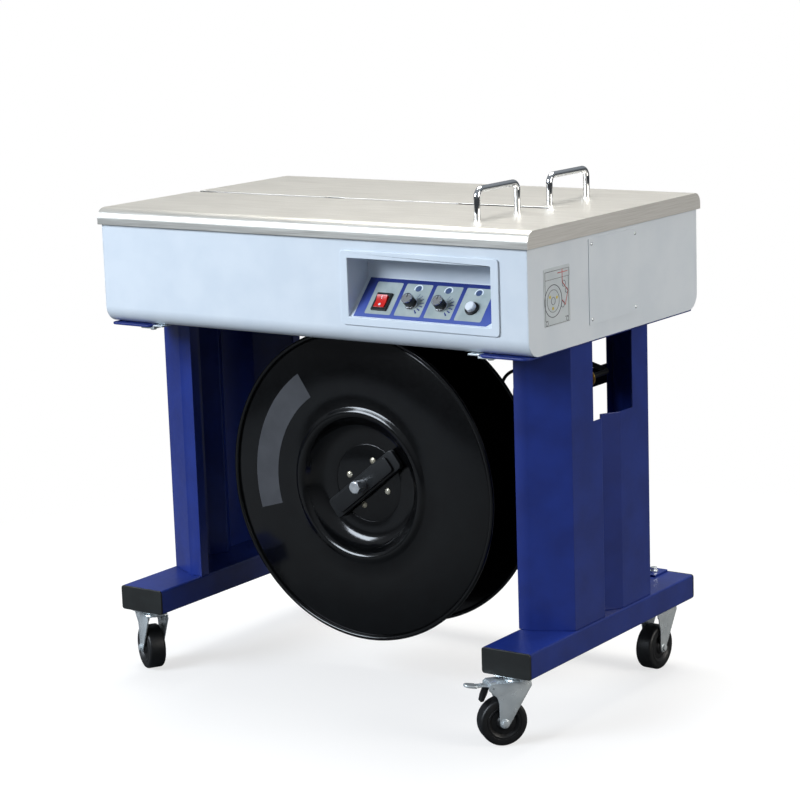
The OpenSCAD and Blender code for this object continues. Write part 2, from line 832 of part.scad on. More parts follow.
// channel that hangs from the floor tray and holds the reel's shaft
module reel_hanger() {
    mid_y = hanger_y0 + hanger_d / 2;
    color("#26337f") difference() {
        union() {
            translate([reel_x, mid_y, tray_z0 - 5]) linear_extrude(5) round_rect(110, 68, 6);
            difference() {
                translate([reel_x - hanger_w / 2, hanger_y0, reel_z - 45])
                    cube([hanger_w, hanger_d, tray_z0 - reel_z + 41]);
                translate([reel_x - hanger_w / 2 + hanger_t, hanger_y0 + hanger_t, reel_z - 46])
                    cube([hanger_w - 2 * hanger_t, hanger_d, tray_z0 - reel_z + 41]);
            }
            translate([reel_x, 0, reel_z])
                rod_y(shaft_r + 8, hanger_y0 - 6, hanger_y0 + hanger_d + 2);
        }
        translate([reel_x, 0, reel_z]) rod_y(shaft_r + fit, hanger_y0 - 20, hanger_y0 + 60);
        hanger_bolt_places() translate([0, 0, -9]) cylinder(r = 4.05, h = 20);
    }
}

module reel_shaft() {
    color("#c9cdd0") translate([reel_x, 0, reel_z]) {
        rod_y(shaft_r, shaft_end + 12, hanger_y0 + hanger_d + 14);
        translate([0, shaft_end + 12, 0]) rotate([90, 0, 0]) intersection() {
            cylinder(r = shaft_r + 2, h = 12, $fn = 6);
            cylinder(r1 = shaft_r + 13, r2 = shaft_r, h = 12);
        }
        translate([0, hanger_y0 + hanger_d + 2, 0]) rotate([-90, 0, 0])
            difference() {
                cylinder(r = shaft_r * 1.7, h = 10, $fn = 6);
                translate([0, 0, -1]) cylinder(r = shaft_r - 0.5, h = 12);
            }
    }
}

module turned_about_reel() {
    translate([reel_x, 0, reel_z]) rotate([90, 0, 0]) rotate_extrude($fn = 120) children();
}

// section of a flange as (r, -y): rim bead, flat web, ring and dish
module front_flange_section() {
    face = -reel_y0 - 4;
    disc = -disc_y;
    translate([reel_r - bead_r, face + 0]) circle(bead_r);
    translate([dish_r, face - flange_t]) square([reel_r - bead_r - dish_r, flange_t]);
    translate([dish_r, face - 1]) circle(5);
    polygon([[dish_r + 2, face], [dish_r - 6, face - 4], [disc_r + 8, disc],
        [disc_r + 2, disc - flange_t], [disc_r + 12, disc - flange_t], [dish_r + 2, face - 7]]);
    translate([hub_r + 0.5, disc - flange_t]) square([disc_r + 9 - hub_r, flange_t]);
}

module reel_screw_places() {
    for (i = [0 : 3])
        translate([reel_x + reel_screw_ring * cos(75 + 90 * i), disc_y,
            reel_z + reel_screw_ring * sin(75 + 90 * i)]) children();
}

module reel_front_flange() {
    color("#101113") difference() {
        turned_about_reel() front_flange_section();
        reel_screw_places() rod_y(3 + fit, -10, 10);
    }
}

module reel_rear_flange() {
    face = -reel_y1 + 4;
    color("#101113") turned_about_reel() {
        translate([reel_r - bead_r, face]) circle(bead_r);
        translate([hub_r + 0.5, face]) square([reel_r - bead_r - hub_r, flange_t]);
    }
}

// drum with its hub tube, spokes' web and the four screw bosses
module reel_drum() {
    face = -reel_y0 - 4 - flange_t;
    back = -reel_y1 + 4 + flange_t;
    color("#1c1d20") difference() {
      turned_about_reel() {
        translate([drum_r - 3, back]) square([3, face - back]);
        translate([hub_r, back]) square([drum_r - hub_r, 3]);
        translate([shaft_r + fit, 7 - hanger_y0])
            square([hub_r - shaft_r - fit, hanger_y0 - 7 - disc_y]);
        translate([hub_r - 1, -disc_y - flange_t - 4]) square([38, 4]);
      }
      reel_screw_places() rod_y(3 + fit, 0, 10);
    }
}

module reel_screws() {
    color("#c9c3b0") reel_screw_places() rotate([90, 0, 0]) pan_screw(3, 6.5);
}

module lock_bar() {
    color("#15161a") translate([reel_x, 0, reel_z]) rotate([0, -bar_turn, 0]) difference() {
        union() {
            along_y(bar_y0 + 4, bar_y1) square([bar_l, bar_w], center = true);
            along_y(bar_y0, bar_y0 + 4) square([bar_l - 14, bar_w - 8], center = true);
        }
        rod_y(shaft_r + fit, bar_y0 - 5, bar_y1 + 5);
    }
}

// ---------- strap arm and guides ----------

module on_arm() {
    translate([arm_x, 0, arm_z]) rotate([0, arm_slope, 0]) children();
}

module arm_corner(s, y) {
    translate([arm_len - arm_bend, y - s * arm_bend, 0]) elbow(arm_r, arm_bend, s > 0 ? 0 : -90);
}

// round rod bent to a U, with pivot ends turned outwards
module strap_arm() {
    pivot_in = 26;
    color("#15161a") on_arm() {
        for (i = [0, 1]) {
            s = i == 0 ? -1 : 1;
            translate([arm_bend, arm_ys[i], 0]) rod_x(arm_r, 0, arm_len - 2 * arm_bend);
            arm_corner(s, arm_ys[i]);
            translate([arm_bend, arm_ys[i] + s * arm_bend, 0])
                elbow(arm_r, arm_bend, s > 0 ? 180 : 90);
            translate([0, arm_ys[i] + s * arm_bend, 0])
                rod_y(arm_r, s < 0 ? -pivot_in + arm_bend : 0, s < 0 ? 0 : pivot_in - arm_bend);
        }
        translate([arm_len, 0, 0])
            rod_y(arm_r, arm_ys[0] + arm_bend, arm_ys[1] - arm_bend);
    }
}

module arm_roller() {
    color("#b8a06a") on_arm() translate([arm_len, roller_y, 0]) difference() {
        union() {
            rod_y(roller_r, -roller_l / 2, roller_l / 2);
            for (s = [-1, 1]) translate([0, s * (roller_l / 2 - 1.5), 0])
                rod_y(roller_r + 4, -1.5, 1.5);
        }
        rod_y(arm_r + fit, -roller_l, roller_l);
    }
}

module arm_pivots() {
    color("#c3c9cb") for (i = [0, 1]) {
        s = i == 0 ? -1 : 1;
        translate([arm_x, arm_ys[i] + s * 20, 0]) difference() {
            union() {
                translate([-14, -6, arm_z]) cube([28, 12, tray_z0 - arm_z]);
                translate([0, 0, arm_z]) rod_y(14, -6, 6);
            }
            translate([0, 0, arm_z]) rod_y(arm_r + fit, -10, 10);
        }
    }
}

// two bent wire guides that keep the strap off the leg
module strap_guide() {
    inner = guide_top - 7;
    color("#15161a") {
        translate([col_in - leg_t / 2 - 4, guide_y - 9, guide_top - 20])
            cube([4, base_y + leg_d / 2 - guide_y + 9, 33]);
        translate([0, guide_y, guide_top]) rod_x(guide_r, 200, col_in - 4);
        translate([200, guide_y, guide_top - 40]) rotate([90, 0, 0]) elbow(guide_r, 40, 90);
        translate([0, guide_y, inner - 3]) rod_x(guide_r, 218, col_in - 4);
        translate([218, guide_y, inner - 33]) rotate([90, 0, 0]) elbow(guide_r, 30, 90);
        translate([188, guide_y, inner - 60]) cylinder(r = guide_r, h = 27);
    }
}

// ---------- works inside the cabinet ----------

// blue channel under the slot that the strap's end slides through
module strap_track() {
    track_top = lid_under - 4;
    color("#2e3f96") difference() {
        union() {
            for (span = [[slot_left_end + 4, head_x0 - 40], [head_x1 + 40, mouth_x0 - 4]])
                translate([span[0], centre_y - 20, track_top - 16])
                    cube([span[1] - span[0], 40, 16]);
            for (x = [slot_left_end + 20, head_x0 - 100])
                translate([x, centre_y - 20, tray_z1]) cube([24, 4, track_top - 16 - tray_z1]);
            for (y = [-20, 16])
                translate([feed_x - 24, centre_y + y, tray_z1]) cube([48, 4, track_top - 16 - tray_z1]);
            translate([mouth_x0 - 4, centre_y + mouth_w / 2 + 1, track_top - 40])
                cube([mouth_x1 - mouth_x0 + 50, 3, 40]);
            translate([mouth_x1 + 22, centre_y + mouth_w / 2 + 1, tray_z1])
                cube([24, 3, track_top - 30 - tray_z1]);
        }
        translate([slot_left_end, centre_y - slot_w / 2 + 1, track_top - 5])
            cube([mouth_x0 - slot_left_end, slot_w - 2, 10]);
        translate([feed_x, 0, feed_z]) {
            rod_y(feed_shaft_r + fit, centre_y - 30, centre_y + 30);
            rod_y(feed_r + 2, centre_y - feed_w / 2 - 2, centre_y + feed_w / 2 + 2);
        }
    }
}

// two plates and a top block that hold the sealing head's camshaft
module head_frame() {
    color("#7d8288") difference() {
        union() {
            for (x = [head_x - head_l / 2, head_x + head_l / 2 - head_plate_t])
                translate([x, head_ys[0], tray_z1])
                    cube([head_plate_t, head_ys[1] - head_ys[0], head_top - tray_z1]);
            translate([head_x - head_l / 2, head_ys[0], head_top - 12])
                cube([head_l, head_ys[1] - head_ys[0], 12]);
            translate([head_x - 30, centre_y - mouth_w, head_top])
                cube([60, 2 * mouth_w, anvil_z - fit - head_top]);
        }
        translate([0, centre_y, cam_z]) rod_x(cam_r + fit, head_x - head_l, head_x + head_l);
        translate([head_x - anvil_key / 2 - fit, centre_y - 50, anvil_z - anvil_key])
            cube([anvil_key + 2 * fit, 100, 2 * anvil_key]);
    }
}

module camshaft() {
    color("#9aa0a6") translate([0, centre_y, cam_z]) {
        rod_x(cam_r, head_x - head_l / 2 - 8, cam_gear_x + gear_w / 2);
        for (dx = cam_xs) translate([head_x + dx, 0, 0]) {
            rod_x(16, -5, 5);
            rotate([4 * dx, 0, 0]) translate([0, 7, 0]) rod_x(14, -4, 4);
        }
        rod_x(cam_gear_r, cam_gear_x - gear_w / 2, cam_gear_x + gear_w / 2);
    }
}

// how far along the motor its foot starts, clear of the reel hanger's bolt
motor_foot = 38;

module gear_motor() {
    axis_y = centre_y + cam_gear_r + motor_r + 2;
    color("#5d6a63") difference() {
      translate([motor_x, axis_y, 0]) {
        translate([0, 0, cam_z]) rod_x(motor_r, gearbox_l, gearbox_l + motor_l);
        translate([0, -motor_r, tray_z1]) cube([gearbox_l, 2 * motor_r, cam_z + motor_r - tray_z1]);
        translate([gearbox_l + motor_foot, -motor_r + 8, tray_z1])
            cube([motor_l - motor_foot - 20, 2 * motor_r - 16, cam_z - motor_r + 12 - tray_z1]);
      }
      translate([0, pinion_y, cam_z]) rod_x(pinion_shaft_r + fit, motor_x - 5, motor_x + 21);
    }
}

module motor_pinion() {
    color("#9aa0a6") translate([0, pinion_y, cam_z]) {
        rod_x(pinion_r, cam_gear_x - gear_w / 2, cam_gear_x + gear_w / 2);
        rod_x(pinion_shaft_r, cam_gear_x, motor_x + 20);
    }
}

module feed_roller() {
    color("#a8adb1") translate([feed_x, 0, feed_z]) {
        rod_y(feed_r, centre_y - feed_w / 2, centre_y + feed_w / 2);
        rod_y(feed_shaft_r, centre_y - 24, centre_y + 24);
    }
}

module anvil() {
    color("#54585c") {
        translate([head_x0 + 1, centre_y - anvil_w / 2, anvil_z]) cube([anvil_l, anvil_w, anvil_t]);
        translate([head_x - anvil_key / 2, centre_y - anvil_w / 2, anvil_z - anvil_key + gap])
            cube([anvil_key, anvil_w, anvil_key]);
    }
}

module transformer() {
    color("#4a4d52") translate([-400, 110, tray_z1]) {
        cube([90, 76, 8]);
        translate([10, 10, 8]) cube([70, 56, 66]);
        translate([22, 2, 14]) cube([46, 72, 50]);
    }
}

module circuit_board() {
    color("#1f6b45") translate([-410, -190, tray_z1]) {
        for (x = [8, 182], y = [8, 112]) translate([x, y, 0]) cylinder(r = 4, h = 10);
        translate([0, 0, 10]) cube([190, 120, 2]);
        translate([20, 20, 12]) cube([40, 36, 18]);
        translate([80, 24, 12]) cube([26, 60, 12]);
        translate([130, 20, 12]) cube([40, 26, 14]);
    }
}

module power_inlet() {
    color("#1c1d1f") translate([right_x - 70 + 14.2, cab_w / 2, cab_z + 94.2]) {
        translate([-18, 0, -28]) cube([36, 3, 56]);
        difference() {
            translate([-13.9, -24, -23.9]) cube([27.8, 25, 47.8]);
            translate([-10, -14, -20]) cube([20, 30, 24]);
        }
    }
}

// ---------- lid ----------

module lid_section(d) {
    foot = skirt_z - (d > 0 ? 1 : 0);
    translate([-table_w / 2 + d, foot])
        square([table_w - 2 * d, table_h - lid_edge_r - foot]);
    translate([-table_w / 2 + lid_edge_r, table_h - lid_edge_r])
        square([table_w - 2 * lid_edge_r, lid_edge_r - d]);
    for (s = [-1, 1]) translate([s * (table_w / 2 - lid_edge_r), table_h - lid_edge_r])
        intersection() {
            circle(lid_edge_r - d);
            translate([-lid_edge_r, 0]) square([2 * lid_edge_r, lid_edge_r]);
        }
}

module slot_cut() {
    for (part = [[-table_l / 2 - 5, slot_left_end, mouth_w], [slot_left_end - 1, mouth_x0 + 1, slot_w],
            [head_x0, head_x1, mouth_w], [mouth_x0, mouth_x1, mouth_w]])
        translate([part[0], centre_y - part[2] / 2, skirt_z + 8])
            cube([part[1] - part[0], part[2], lid_skirt]);
}

module lid() {
    color("#b7b1a4") difference() {
        union() {
            along_x(-table_l / 2 + lid_t, table_l / 2 - lid_t) difference() {
                lid_section(0);
                lid_section(lid_t);
            }
            for (x = [-table_l / 2, table_l / 2 - lid_t]) along_x(x, x + lid_t) lid_section(0);
        }
        slot_cut();
        handle_feet() translate([0, 0, -5]) cylinder(r = stud_r + fit, h = 10);
    }
}

module handle_feet() {
    for (h = [-1, 1], e = [-1, 1])
        translate([handle_x, centre_y + h * handle_dy + e * handle_pitch / 2, table_h]) children();
}

module lid_handles() {
    half = handle_pitch / 2;
    color("#d9dcdf") for (h = [-1, 1])
        translate([handle_x, centre_y + h * handle_dy, table_h]) {
            for (e = [-1, 1]) {
                translate([0, e * half, 0]) cylinder(r = handle_r, h = handle_h - handle_bend);
                translate([0, e * half, -9]) cylinder(r = stud_r, h = 9.5);
                translate([0, e * half, -lid_t - 4]) cylinder(r = 6, h = 4);
                translate([0, e * (half - handle_bend), handle_h - handle_bend])
                    rotate([0, -90, 0]) elbow(handle_r, handle_bend, e > 0 ? 0 : -90);
            }
            translate([0, 0, handle_h]) rod_y(handle_r, -half + handle_bend, half - handle_bend);
        }
}

// fixed leaf: middle knuckle with the pin, on the left end panel
module hinge_leaves() {
    leaf_x = -cab_l / 2 - leaf_t;
    color("#c3c9cb") for (y = hinge_ys) translate([0, y, 0]) {
        translate([leaf_x, -hinge_l / 2, hinge_z - leaf_h]) cube([leaf_t, hinge_l, leaf_h - 3]);
        translate([hinge_x, -knuckle / 2 + gap, hinge_z - 3])
            cube([leaf_x + leaf_t - hinge_x, knuckle - 2 * gap, leaf_t]);
        translate([hinge_x, 0, hinge_z]) {
            rod_y(hinge_r, -knuckle / 2 + gap, knuckle / 2 - gap);
            rod_y(hinge_pin_r, -hinge_l / 2, hinge_l / 2);
        }
    }
}

// moving leaf: two outer knuckles, on the lid's left skirt
module lid_hinges() {
    leaf_x = -table_l / 2 - leaf_t;
    color("#c3c9cb") for (y = hinge_ys) translate([0, y, 0]) {
        translate([leaf_x, -hinge_l / 2, skirt_z]) cube([leaf_t, hinge_l, leaf_h - 2]);
        for (s = [-1, 1]) difference() {
            union() {
                translate([hinge_x, s * knuckle, hinge_z])
                    rod_y(hinge_r, -knuckle / 2, knuckle / 2);
                translate([leaf_x, s * knuckle - knuckle / 2, hinge_z])
                    cube([leaf_t, knuckle, skirt_z - hinge_z + 1]);
            }
            translate([hinge_x, 0, hinge_z]) rod_y(hinge_pin_r + fit, -hinge_l, hinge_l);
        }
    }
}

front_panel();
rear_panel();
left_end_panel();
right_end_panel();
floor_tray();
access_cover();
path_plate();
control_frame();
control_label();
switch_housing();
knob_pots();
button_housing();
left_leg();
right_leg();
top_plates();
tray_clips();
base_tubes();
tube_caps();
rear_stretcher();
frame_bolts();
castor_plates();
reel_hanger();
reel_shaft();
strap_guide();
arm_pivots();
strap_track();
head_frame();
gear_motor();
transformer();
circuit_board();
power_inlet();
hinge_leaves();
lid();
lid_handles();
lid_hinges();
rocker();
feed_knob();
tension_knob();
push_button();
fork_front_left();
fork_front_right();
fork_rear_left();
fork_rear_right();
wheel_front_left();
wheel_front_right();
wheel_rear_left();
wheel_rear_right();
pedal_left();
pedal_right();
reel_front_flange();
reel_drum();
reel_rear_flange();
reel_screws();
lock_bar();
strap_arm();
arm_roller();
camshaft();
motor_pinion();
feed_roller();
anvil();
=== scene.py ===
import json
import math

import bpy
from mathutils import Matrix, Vector


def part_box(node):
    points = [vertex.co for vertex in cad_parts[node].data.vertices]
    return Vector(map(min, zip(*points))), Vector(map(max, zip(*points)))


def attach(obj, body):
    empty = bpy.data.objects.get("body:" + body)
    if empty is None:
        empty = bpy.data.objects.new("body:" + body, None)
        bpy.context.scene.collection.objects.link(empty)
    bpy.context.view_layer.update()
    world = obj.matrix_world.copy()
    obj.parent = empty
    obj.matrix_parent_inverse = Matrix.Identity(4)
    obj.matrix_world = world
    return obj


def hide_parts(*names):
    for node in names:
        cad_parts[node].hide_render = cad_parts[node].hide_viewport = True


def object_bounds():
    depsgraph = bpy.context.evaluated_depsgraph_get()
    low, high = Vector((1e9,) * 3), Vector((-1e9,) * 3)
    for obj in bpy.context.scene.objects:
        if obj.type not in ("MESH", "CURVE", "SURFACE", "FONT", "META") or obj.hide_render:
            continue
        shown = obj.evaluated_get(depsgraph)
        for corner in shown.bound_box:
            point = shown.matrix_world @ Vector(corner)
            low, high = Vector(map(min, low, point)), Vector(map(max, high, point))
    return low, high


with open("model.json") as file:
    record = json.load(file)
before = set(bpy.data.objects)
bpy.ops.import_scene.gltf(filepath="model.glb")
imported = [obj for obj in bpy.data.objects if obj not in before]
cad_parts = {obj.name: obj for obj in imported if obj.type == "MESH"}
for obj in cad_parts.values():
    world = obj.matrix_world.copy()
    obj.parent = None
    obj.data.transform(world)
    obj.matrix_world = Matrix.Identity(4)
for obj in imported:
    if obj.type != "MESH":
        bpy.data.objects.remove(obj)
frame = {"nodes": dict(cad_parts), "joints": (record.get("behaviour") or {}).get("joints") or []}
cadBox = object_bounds()
mm = 0.001
joints = {j["name"]: j for j in frame["joints"]}
print("frame loaded:", len(frame["nodes"]), "nodes")


# camera: a long lens, level with the table's top, from the front right
view = {"place": (2.4441, -3.4457, 1.3330), "turn": 35.27, "tilt": -11.29, "roll": -1.87,
        "lens": 108.9, "shift": (-0.0079, 0.002)}

cameraData = bpy.data.cameras.new("camera")
cameraData.lens = view["lens"]
cameraData.sensor_width = 36
cameraData.shift_x, cameraData.shift_y = view["shift"]
cameraData.clip_end = 50
camera = bpy.data.objects.new("camera", cameraData)
bpy.context.scene.collection.objects.link(camera)
camera.matrix_world = (Matrix.Translation(view["place"])
                       @ Matrix.Rotation(math.radians(view["turn"]), 4, "Z")
                       @ Matrix.Rotation(math.radians(90 + view["tilt"]), 4, "X")
                       @ Matrix.Rotation(math.radians(view["roll"]), 4, "Z"))
bpy.context.scene.camera = camera


# modelling helpers
def pick(*objs):
    if bpy.context.object and bpy.context.object.mode != "OBJECT":
        bpy.ops.object.mode_set(mode="OBJECT")
    bpy.ops.object.select_all(action="DESELECT")
    for o in objs:
        o.select_set(True)
    bpy.context.view_layer.objects.active = objs[0]


def modify(obj, kind, **settings):
    pick(obj)
    modifier = obj.modifiers.new(kind, kind)
    for key, value in settings.items():
        setattr(modifier, key, value)
    bpy.ops.object.modifier_apply(modifier=modifier.name)


def bevel(obj, width, segments=2, angle=30, clamp=False):
    modify(obj, "BEVEL", width=width * mm, segments=segments, limit_method="ANGLE",
           angle_limit=math.radians(angle), use_clamp_overlap=clamp, miter_outer="MITER_ARC")


def smooth(obj, angle=35):
    pick(obj)
    bpy.ops.object.shade_smooth_by_angle(angle=math.radians(angle))


def outward(obj):
    # merges what an operator left doubled and turns the faces out
    pick(obj)
    bpy.ops.object.mode_set(mode="EDIT")
    bpy.ops.mesh.select_all(action="SELECT")
    bpy.ops.mesh.remove_doubles(threshold=0.00001)
    bpy.ops.mesh.normals_make_consistent(inside=False)
    bpy.ops.object.mode_set(mode="OBJECT")


def join(objs, name):
    pick(*objs)
    if len(objs) > 1:
        bpy.ops.object.join()
    objs[0].name = name
    return objs[0]


def put(obj, place=None):
    # bakes a place into the mesh, so the object itself sits at the origin
    pick(obj)
    if place is not None:
        obj.matrix_world = place @ obj.matrix_world
    bpy.ops.object.transform_apply(location=True, rotation=True, scale=True)
    return obj


def piece(obj, name, body, material, replaces=()):
    obj.name = name
    obj.data.name = name
    if material is not None:
        obj.data.materials.clear()
        obj.data.materials.append(material)
    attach(obj, body)
    if replaces:
        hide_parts(*replaces)
    return obj


def drawn(points, close=True):
    # an outline drawn point by point in the XY plane, in millimetres, then filled
    if bpy.context.object and bpy.context.object.mode != "OBJECT":
        bpy.ops.object.mode_set(mode="OBJECT")
    bpy.ops.object.select_all(action="DESELECT")
    bpy.ops.mesh.primitive_plane_add(size=0.001)
    obj = bpy.context.object
    bpy.ops.object.mode_set(mode="EDIT")
    bpy.ops.mesh.merge(type="CENTER")
    spots = [Vector((p[0], p[1], p[2] if len(p) > 2 else 0)) * mm for p in points]
    bpy.ops.transform.translate(value=spots[0])
    for before, after in zip(spots, spots[1:]):
        bpy.ops.mesh.extrude_region_move(TRANSFORM_OT_translate={"value": after - before})
    bpy.ops.mesh.select_all(action="SELECT")
    if close:
        bpy.ops.mesh.edge_face_add()
    bpy.ops.object.mode_set(mode="OBJECT")
    return obj


def slab(points, low, high, round=0, segments=2, angle=30):
    # a filled outline drawn up from low to high, with softened edges
    obj = drawn(points)
    bpy.ops.object.mode_set(mode="EDIT")
    bpy.ops.mesh.select_all(action="SELECT")
    bpy.ops.transform.translate(value=(0, 0, low * mm))
    bpy.ops.mesh.extrude_region_move(TRANSFORM_OT_translate={"value": (0, 0, (high - low) * mm)})
    bpy.ops.object.mode_set(mode="OBJECT")
    outward(obj)
    if round:
        bevel(obj, round, segments, angle)
    return obj


def lathe(profile, steps=96, closed=True):
    # a profile of (radius, height) points turned about the Z axis
    obj = drawn([(r, 0, h) for r, h in profile], close=False)
    bpy.ops.object.mode_set(mode="EDIT")
    bpy.ops.mesh.select_all(action="SELECT")
    if closed:
        bpy.ops.mesh.select_all(action="DESELECT")
        bpy.ops.object.mode_set(mode="OBJECT")
        obj.data.vertices[0].select = True
        obj.data.vertices[len(profile) - 1].select = True
        bpy.ops.object.mode_set(mode="EDIT")
        bpy.ops.mesh.edge_face_add()
        bpy.ops.mesh.select_all(action="SELECT")
    bpy.ops.mesh.spin(steps=steps, angle=2 * math.pi, center=(0, 0, 0), axis=(0, 0, 1))
    bpy.ops.object.mode_set(mode="OBJECT")
    outward(obj)
    return obj


def arc(cx, cy, r, start, end, steps=6):
    # points along a round stretch of an outline
    turns = [math.radians(start + (end - start) * i / steps) for i in range(steps + 1)]
    return [(cx + r * math.cos(t), cy + r * math.sin(t)) for t in turns]


def roundRect(w, h, r, cx=0, cy=0, steps=5):
    corners = [(w / 2 - r, -h / 2 + r, -90), (w / 2 - r, h / 2 - r, 0),
               (-w / 2 + r, h / 2 - r, 90), (-w / 2 + r, -h / 2 + r, 180)]
    return [p for x, y, a in corners for p in arc(cx + x, cy + y, r, a, a + 90, steps)]


def rod(points, thickness, sides=5):
    # a round bar along points in metres
    bpy.ops.object.select_all(action="DESELECT")
    bpy.ops.curve.primitive_nurbs_path_add()
    obj = bpy.context.object
    curve = obj.data
    curve.splines.clear()
    spline = curve.splines.new("POLY")
    spline.points.add(len(points) - 1)
    for spot, p in zip(spline.points, points):
        spot.co = (*p, 1)
    curve.dimensions = "3D"
    curve.bevel_depth = thickness / 2
    curve.bevel_resolution = sides
    curve.use_fill_caps = True
    obj.location = (0, 0, 0)
    pick(obj)
    bpy.ops.object.convert(target="MESH")
    outward(obj)
    return obj


def tidyCopy(node, round=0, segments=2, angle=30, faceAngle=35):
    # a CAD node's own shape with its triangles merged, its faces joined and its edges softened
    obj = frame["nodes"][node].copy()
    obj.data = obj.data.copy()
    for key in list(obj.keys()):
        del obj[key]
    bpy.context.scene.collection.objects.link(obj)
    obj.parent = None
    obj.matrix_world = Matrix.Identity(4)
    pick(obj)
    bpy.ops.object.mode_set(mode="EDIT")
    bpy.ops.mesh.select_all(action="SELECT")
    bpy.ops.mesh.customdata_custom_splitnormals_clear()
    bpy.ops.mesh.remove_doubles(threshold=0.000005)
    bpy.ops.mesh.dissolve_limited(angle_limit=math.radians(0.4))
    bpy.ops.object.mode_set(mode="OBJECT")
    if round:
        bevel(obj, round, segments, angle)
    smooth(obj, faceAngle)
    if round:
        # keeps the large flat faces evenly shaded beside their rounded edges
        modify(obj, "WEIGHTED_NORMAL", keep_sharp=True, weight=100)
    return obj


# material helpers
def srgb(text):
    parts = [int(text[i:i + 2], 16) / 255 for i in (1, 3, 5)]
    return tuple(c / 12.92 if c <= 0.04045 else ((c + 0.055) / 1.055) ** 2.4 for c in parts) + (1,)


def addNode(tree, kind, settings=None, links=None):
    node = tree.nodes.new("ShaderNode" + kind)
    for key, value in (settings or {}).items():
        if key in node.inputs:
            node.inputs[key].default_value = value
        else:
            setattr(node, key, value)
    for key, source in (links or {}).items():
        tree.links.new(source, node.inputs[key])
    return node


def perMm(size):
    # a texture's scale for features this many millimetres apart
    return 1000 / size


def newMaterial(name, colour, roughness, metallic=0.0, **more):
    material = bpy.data.materials.new(name)
    material.use_nodes = True
    tree = material.node_tree
    shader = tree.nodes["Principled BSDF"]
    shader.inputs["Base Color"].default_value = srgb(colour)
    shader.inputs["Roughness"].default_value = roughness
    shader.inputs["Metallic"].default_value = metallic
    for key, value in more.items():
        shader.inputs[key.replace("_", " ")].default_value = value
    return material, tree, shader


def coords(tree, scale=(1, 1, 1)):
    place = addNode(tree, "TexCoord")
    mapping = addNode(tree, "Mapping", {"Scale": scale}, {"Vector": place.outputs["Object"]})
    return mapping.outputs[0]


def mottled(tree, shader, where, colours, size, detail=3, spread=(0.35, 0.65)):
    # slight uneven colour, from one tone to another over patches of this size
    noise = addNode(tree, "TexNoise", {"Scale": perMm(size), "Detail": detail}, {"Vector": where})
    ramp = addNode(tree, "ValToRGB", links={"Fac": noise.outputs["Fac"]})
    for stop, (position, colour) in zip(ramp.color_ramp.elements, zip(spread, colours)):
        stop.position = position
        stop.color = srgb(colour)
    tree.links.new(ramp.outputs["Color"], shader.inputs["Base Color"])
    return noise


def roughened(tree, shader, where, low, high, size, detail=4):
    noise = addNode(tree, "TexNoise", {"Scale": perMm(size), "Detail": detail}, {"Vector": where})
    spread = addNode(tree, "MapRange", {"To Min": low, "To Max": high},
                     {"Value": noise.outputs["Fac"]})
    tree.links.new(spread.outputs["Result"], shader.inputs["Roughness"])


def bumpy(tree, shader, where, size, depth, strength=1.0, detail=2):
    noise = addNode(tree, "TexNoise", {"Scale": perMm(size), "Detail": detail}, {"Vector": where})
    bump = addNode(tree, "Bump", {"Strength": strength, "Distance": depth * mm},
                   {"Height": noise.outputs["Fac"]})
    tree.links.new(bump.outputs["Normal"], shader.inputs["Normal"])
    return bump


# materials
def powderCoat(name, light, dark, roughness, coat=0.0):
    # polyester powder coat on steel: an even colour, a soft gloss and a faint orange peel
    material, tree, shader = newMaterial(name, light, roughness, Coat_Weight=coat,
                                         Coat_Roughness=0.12)
    where = coords(tree)
    mottled(tree, shader, where, (dark, light), 60)
    roughened(tree, shader, where, roughness - 0.05, roughness + 0.07, 9)
    bumpy(tree, shader, where, 2.2, 0.03, 0.35)
    return material


def brushedStainless(name, light, dark, along, roughness=0.36, metallic=0.85):
    # ground stainless sheet: fine straight scratches along one direction, grey with a warm cast
    # real scratches are 0.1 mm apart; they are drawn 0.9 mm apart so that they show
    material, tree, shader = newMaterial(name, light, roughness, metallic)
    stretch = {"X": (0.012, 1, 1), "Y": (1, 0.012, 1)}[along]
    where = coords(tree, stretch)
    noise = mottled(tree, shader, where, (dark, light), 0.9, detail=5, spread=(0.3, 0.7))
    spread = addNode(tree, "MapRange", {"To Min": roughness - 0.08, "To Max": roughness + 0.1},
                     {"Value": noise.outputs["Fac"]})
    tree.links.new(spread.outputs["Result"], shader.inputs["Roughness"])
    bump = addNode(tree, "Bump", {"Strength": 0.25, "Distance": 0.02 * mm},
                   {"Height": noise.outputs["Fac"]})
    tree.links.new(bump.outputs["Normal"], shader.inputs["Normal"])
    return material


def zincPlate(name="zincPlate", light="#e6ecee", dark="#d8dfe2"):
    # bright zinc plate on pressed steel: pale blue-grey, soft cloudy patches
    material, tree, shader = newMaterial(name, light, 0.3, 0.6)
    where = coords(tree)
    mottled(tree, shader, where, (dark, light), 22, detail=2)
    roughened(tree, shader, where, 0.2, 0.32, 12)
    bumpy(tree, shader, where, 5, 0.02, 0.15)
    return material


def chromePlate():
    # bright chrome over polished nickel: near mirror, with the finest polishing haze
    material, tree, shader = newMaterial("chromePlate", "#e8eaec", 0.07, 1.0)
    roughened(tree, shader, coords(tree), 0.04, 0.11, 5)
    return material


def mouldedPlastic(name, light, dark, roughness, grain=0.8, depth=0.03, **more):
    # injection moulded ABS or polypropylene: spark-eroded grain, an even deep colour
    material, tree, shader = newMaterial(name, light, roughness, **more)
    where = coords(tree)
    mottled(tree, shader, where, (dark, light), 25)
    roughened(tree, shader, where, max(roughness - 0.06, 0.03), roughness + 0.08, 4)
    bumpy(tree, shader, where, grain, depth, 0.4)
    return material


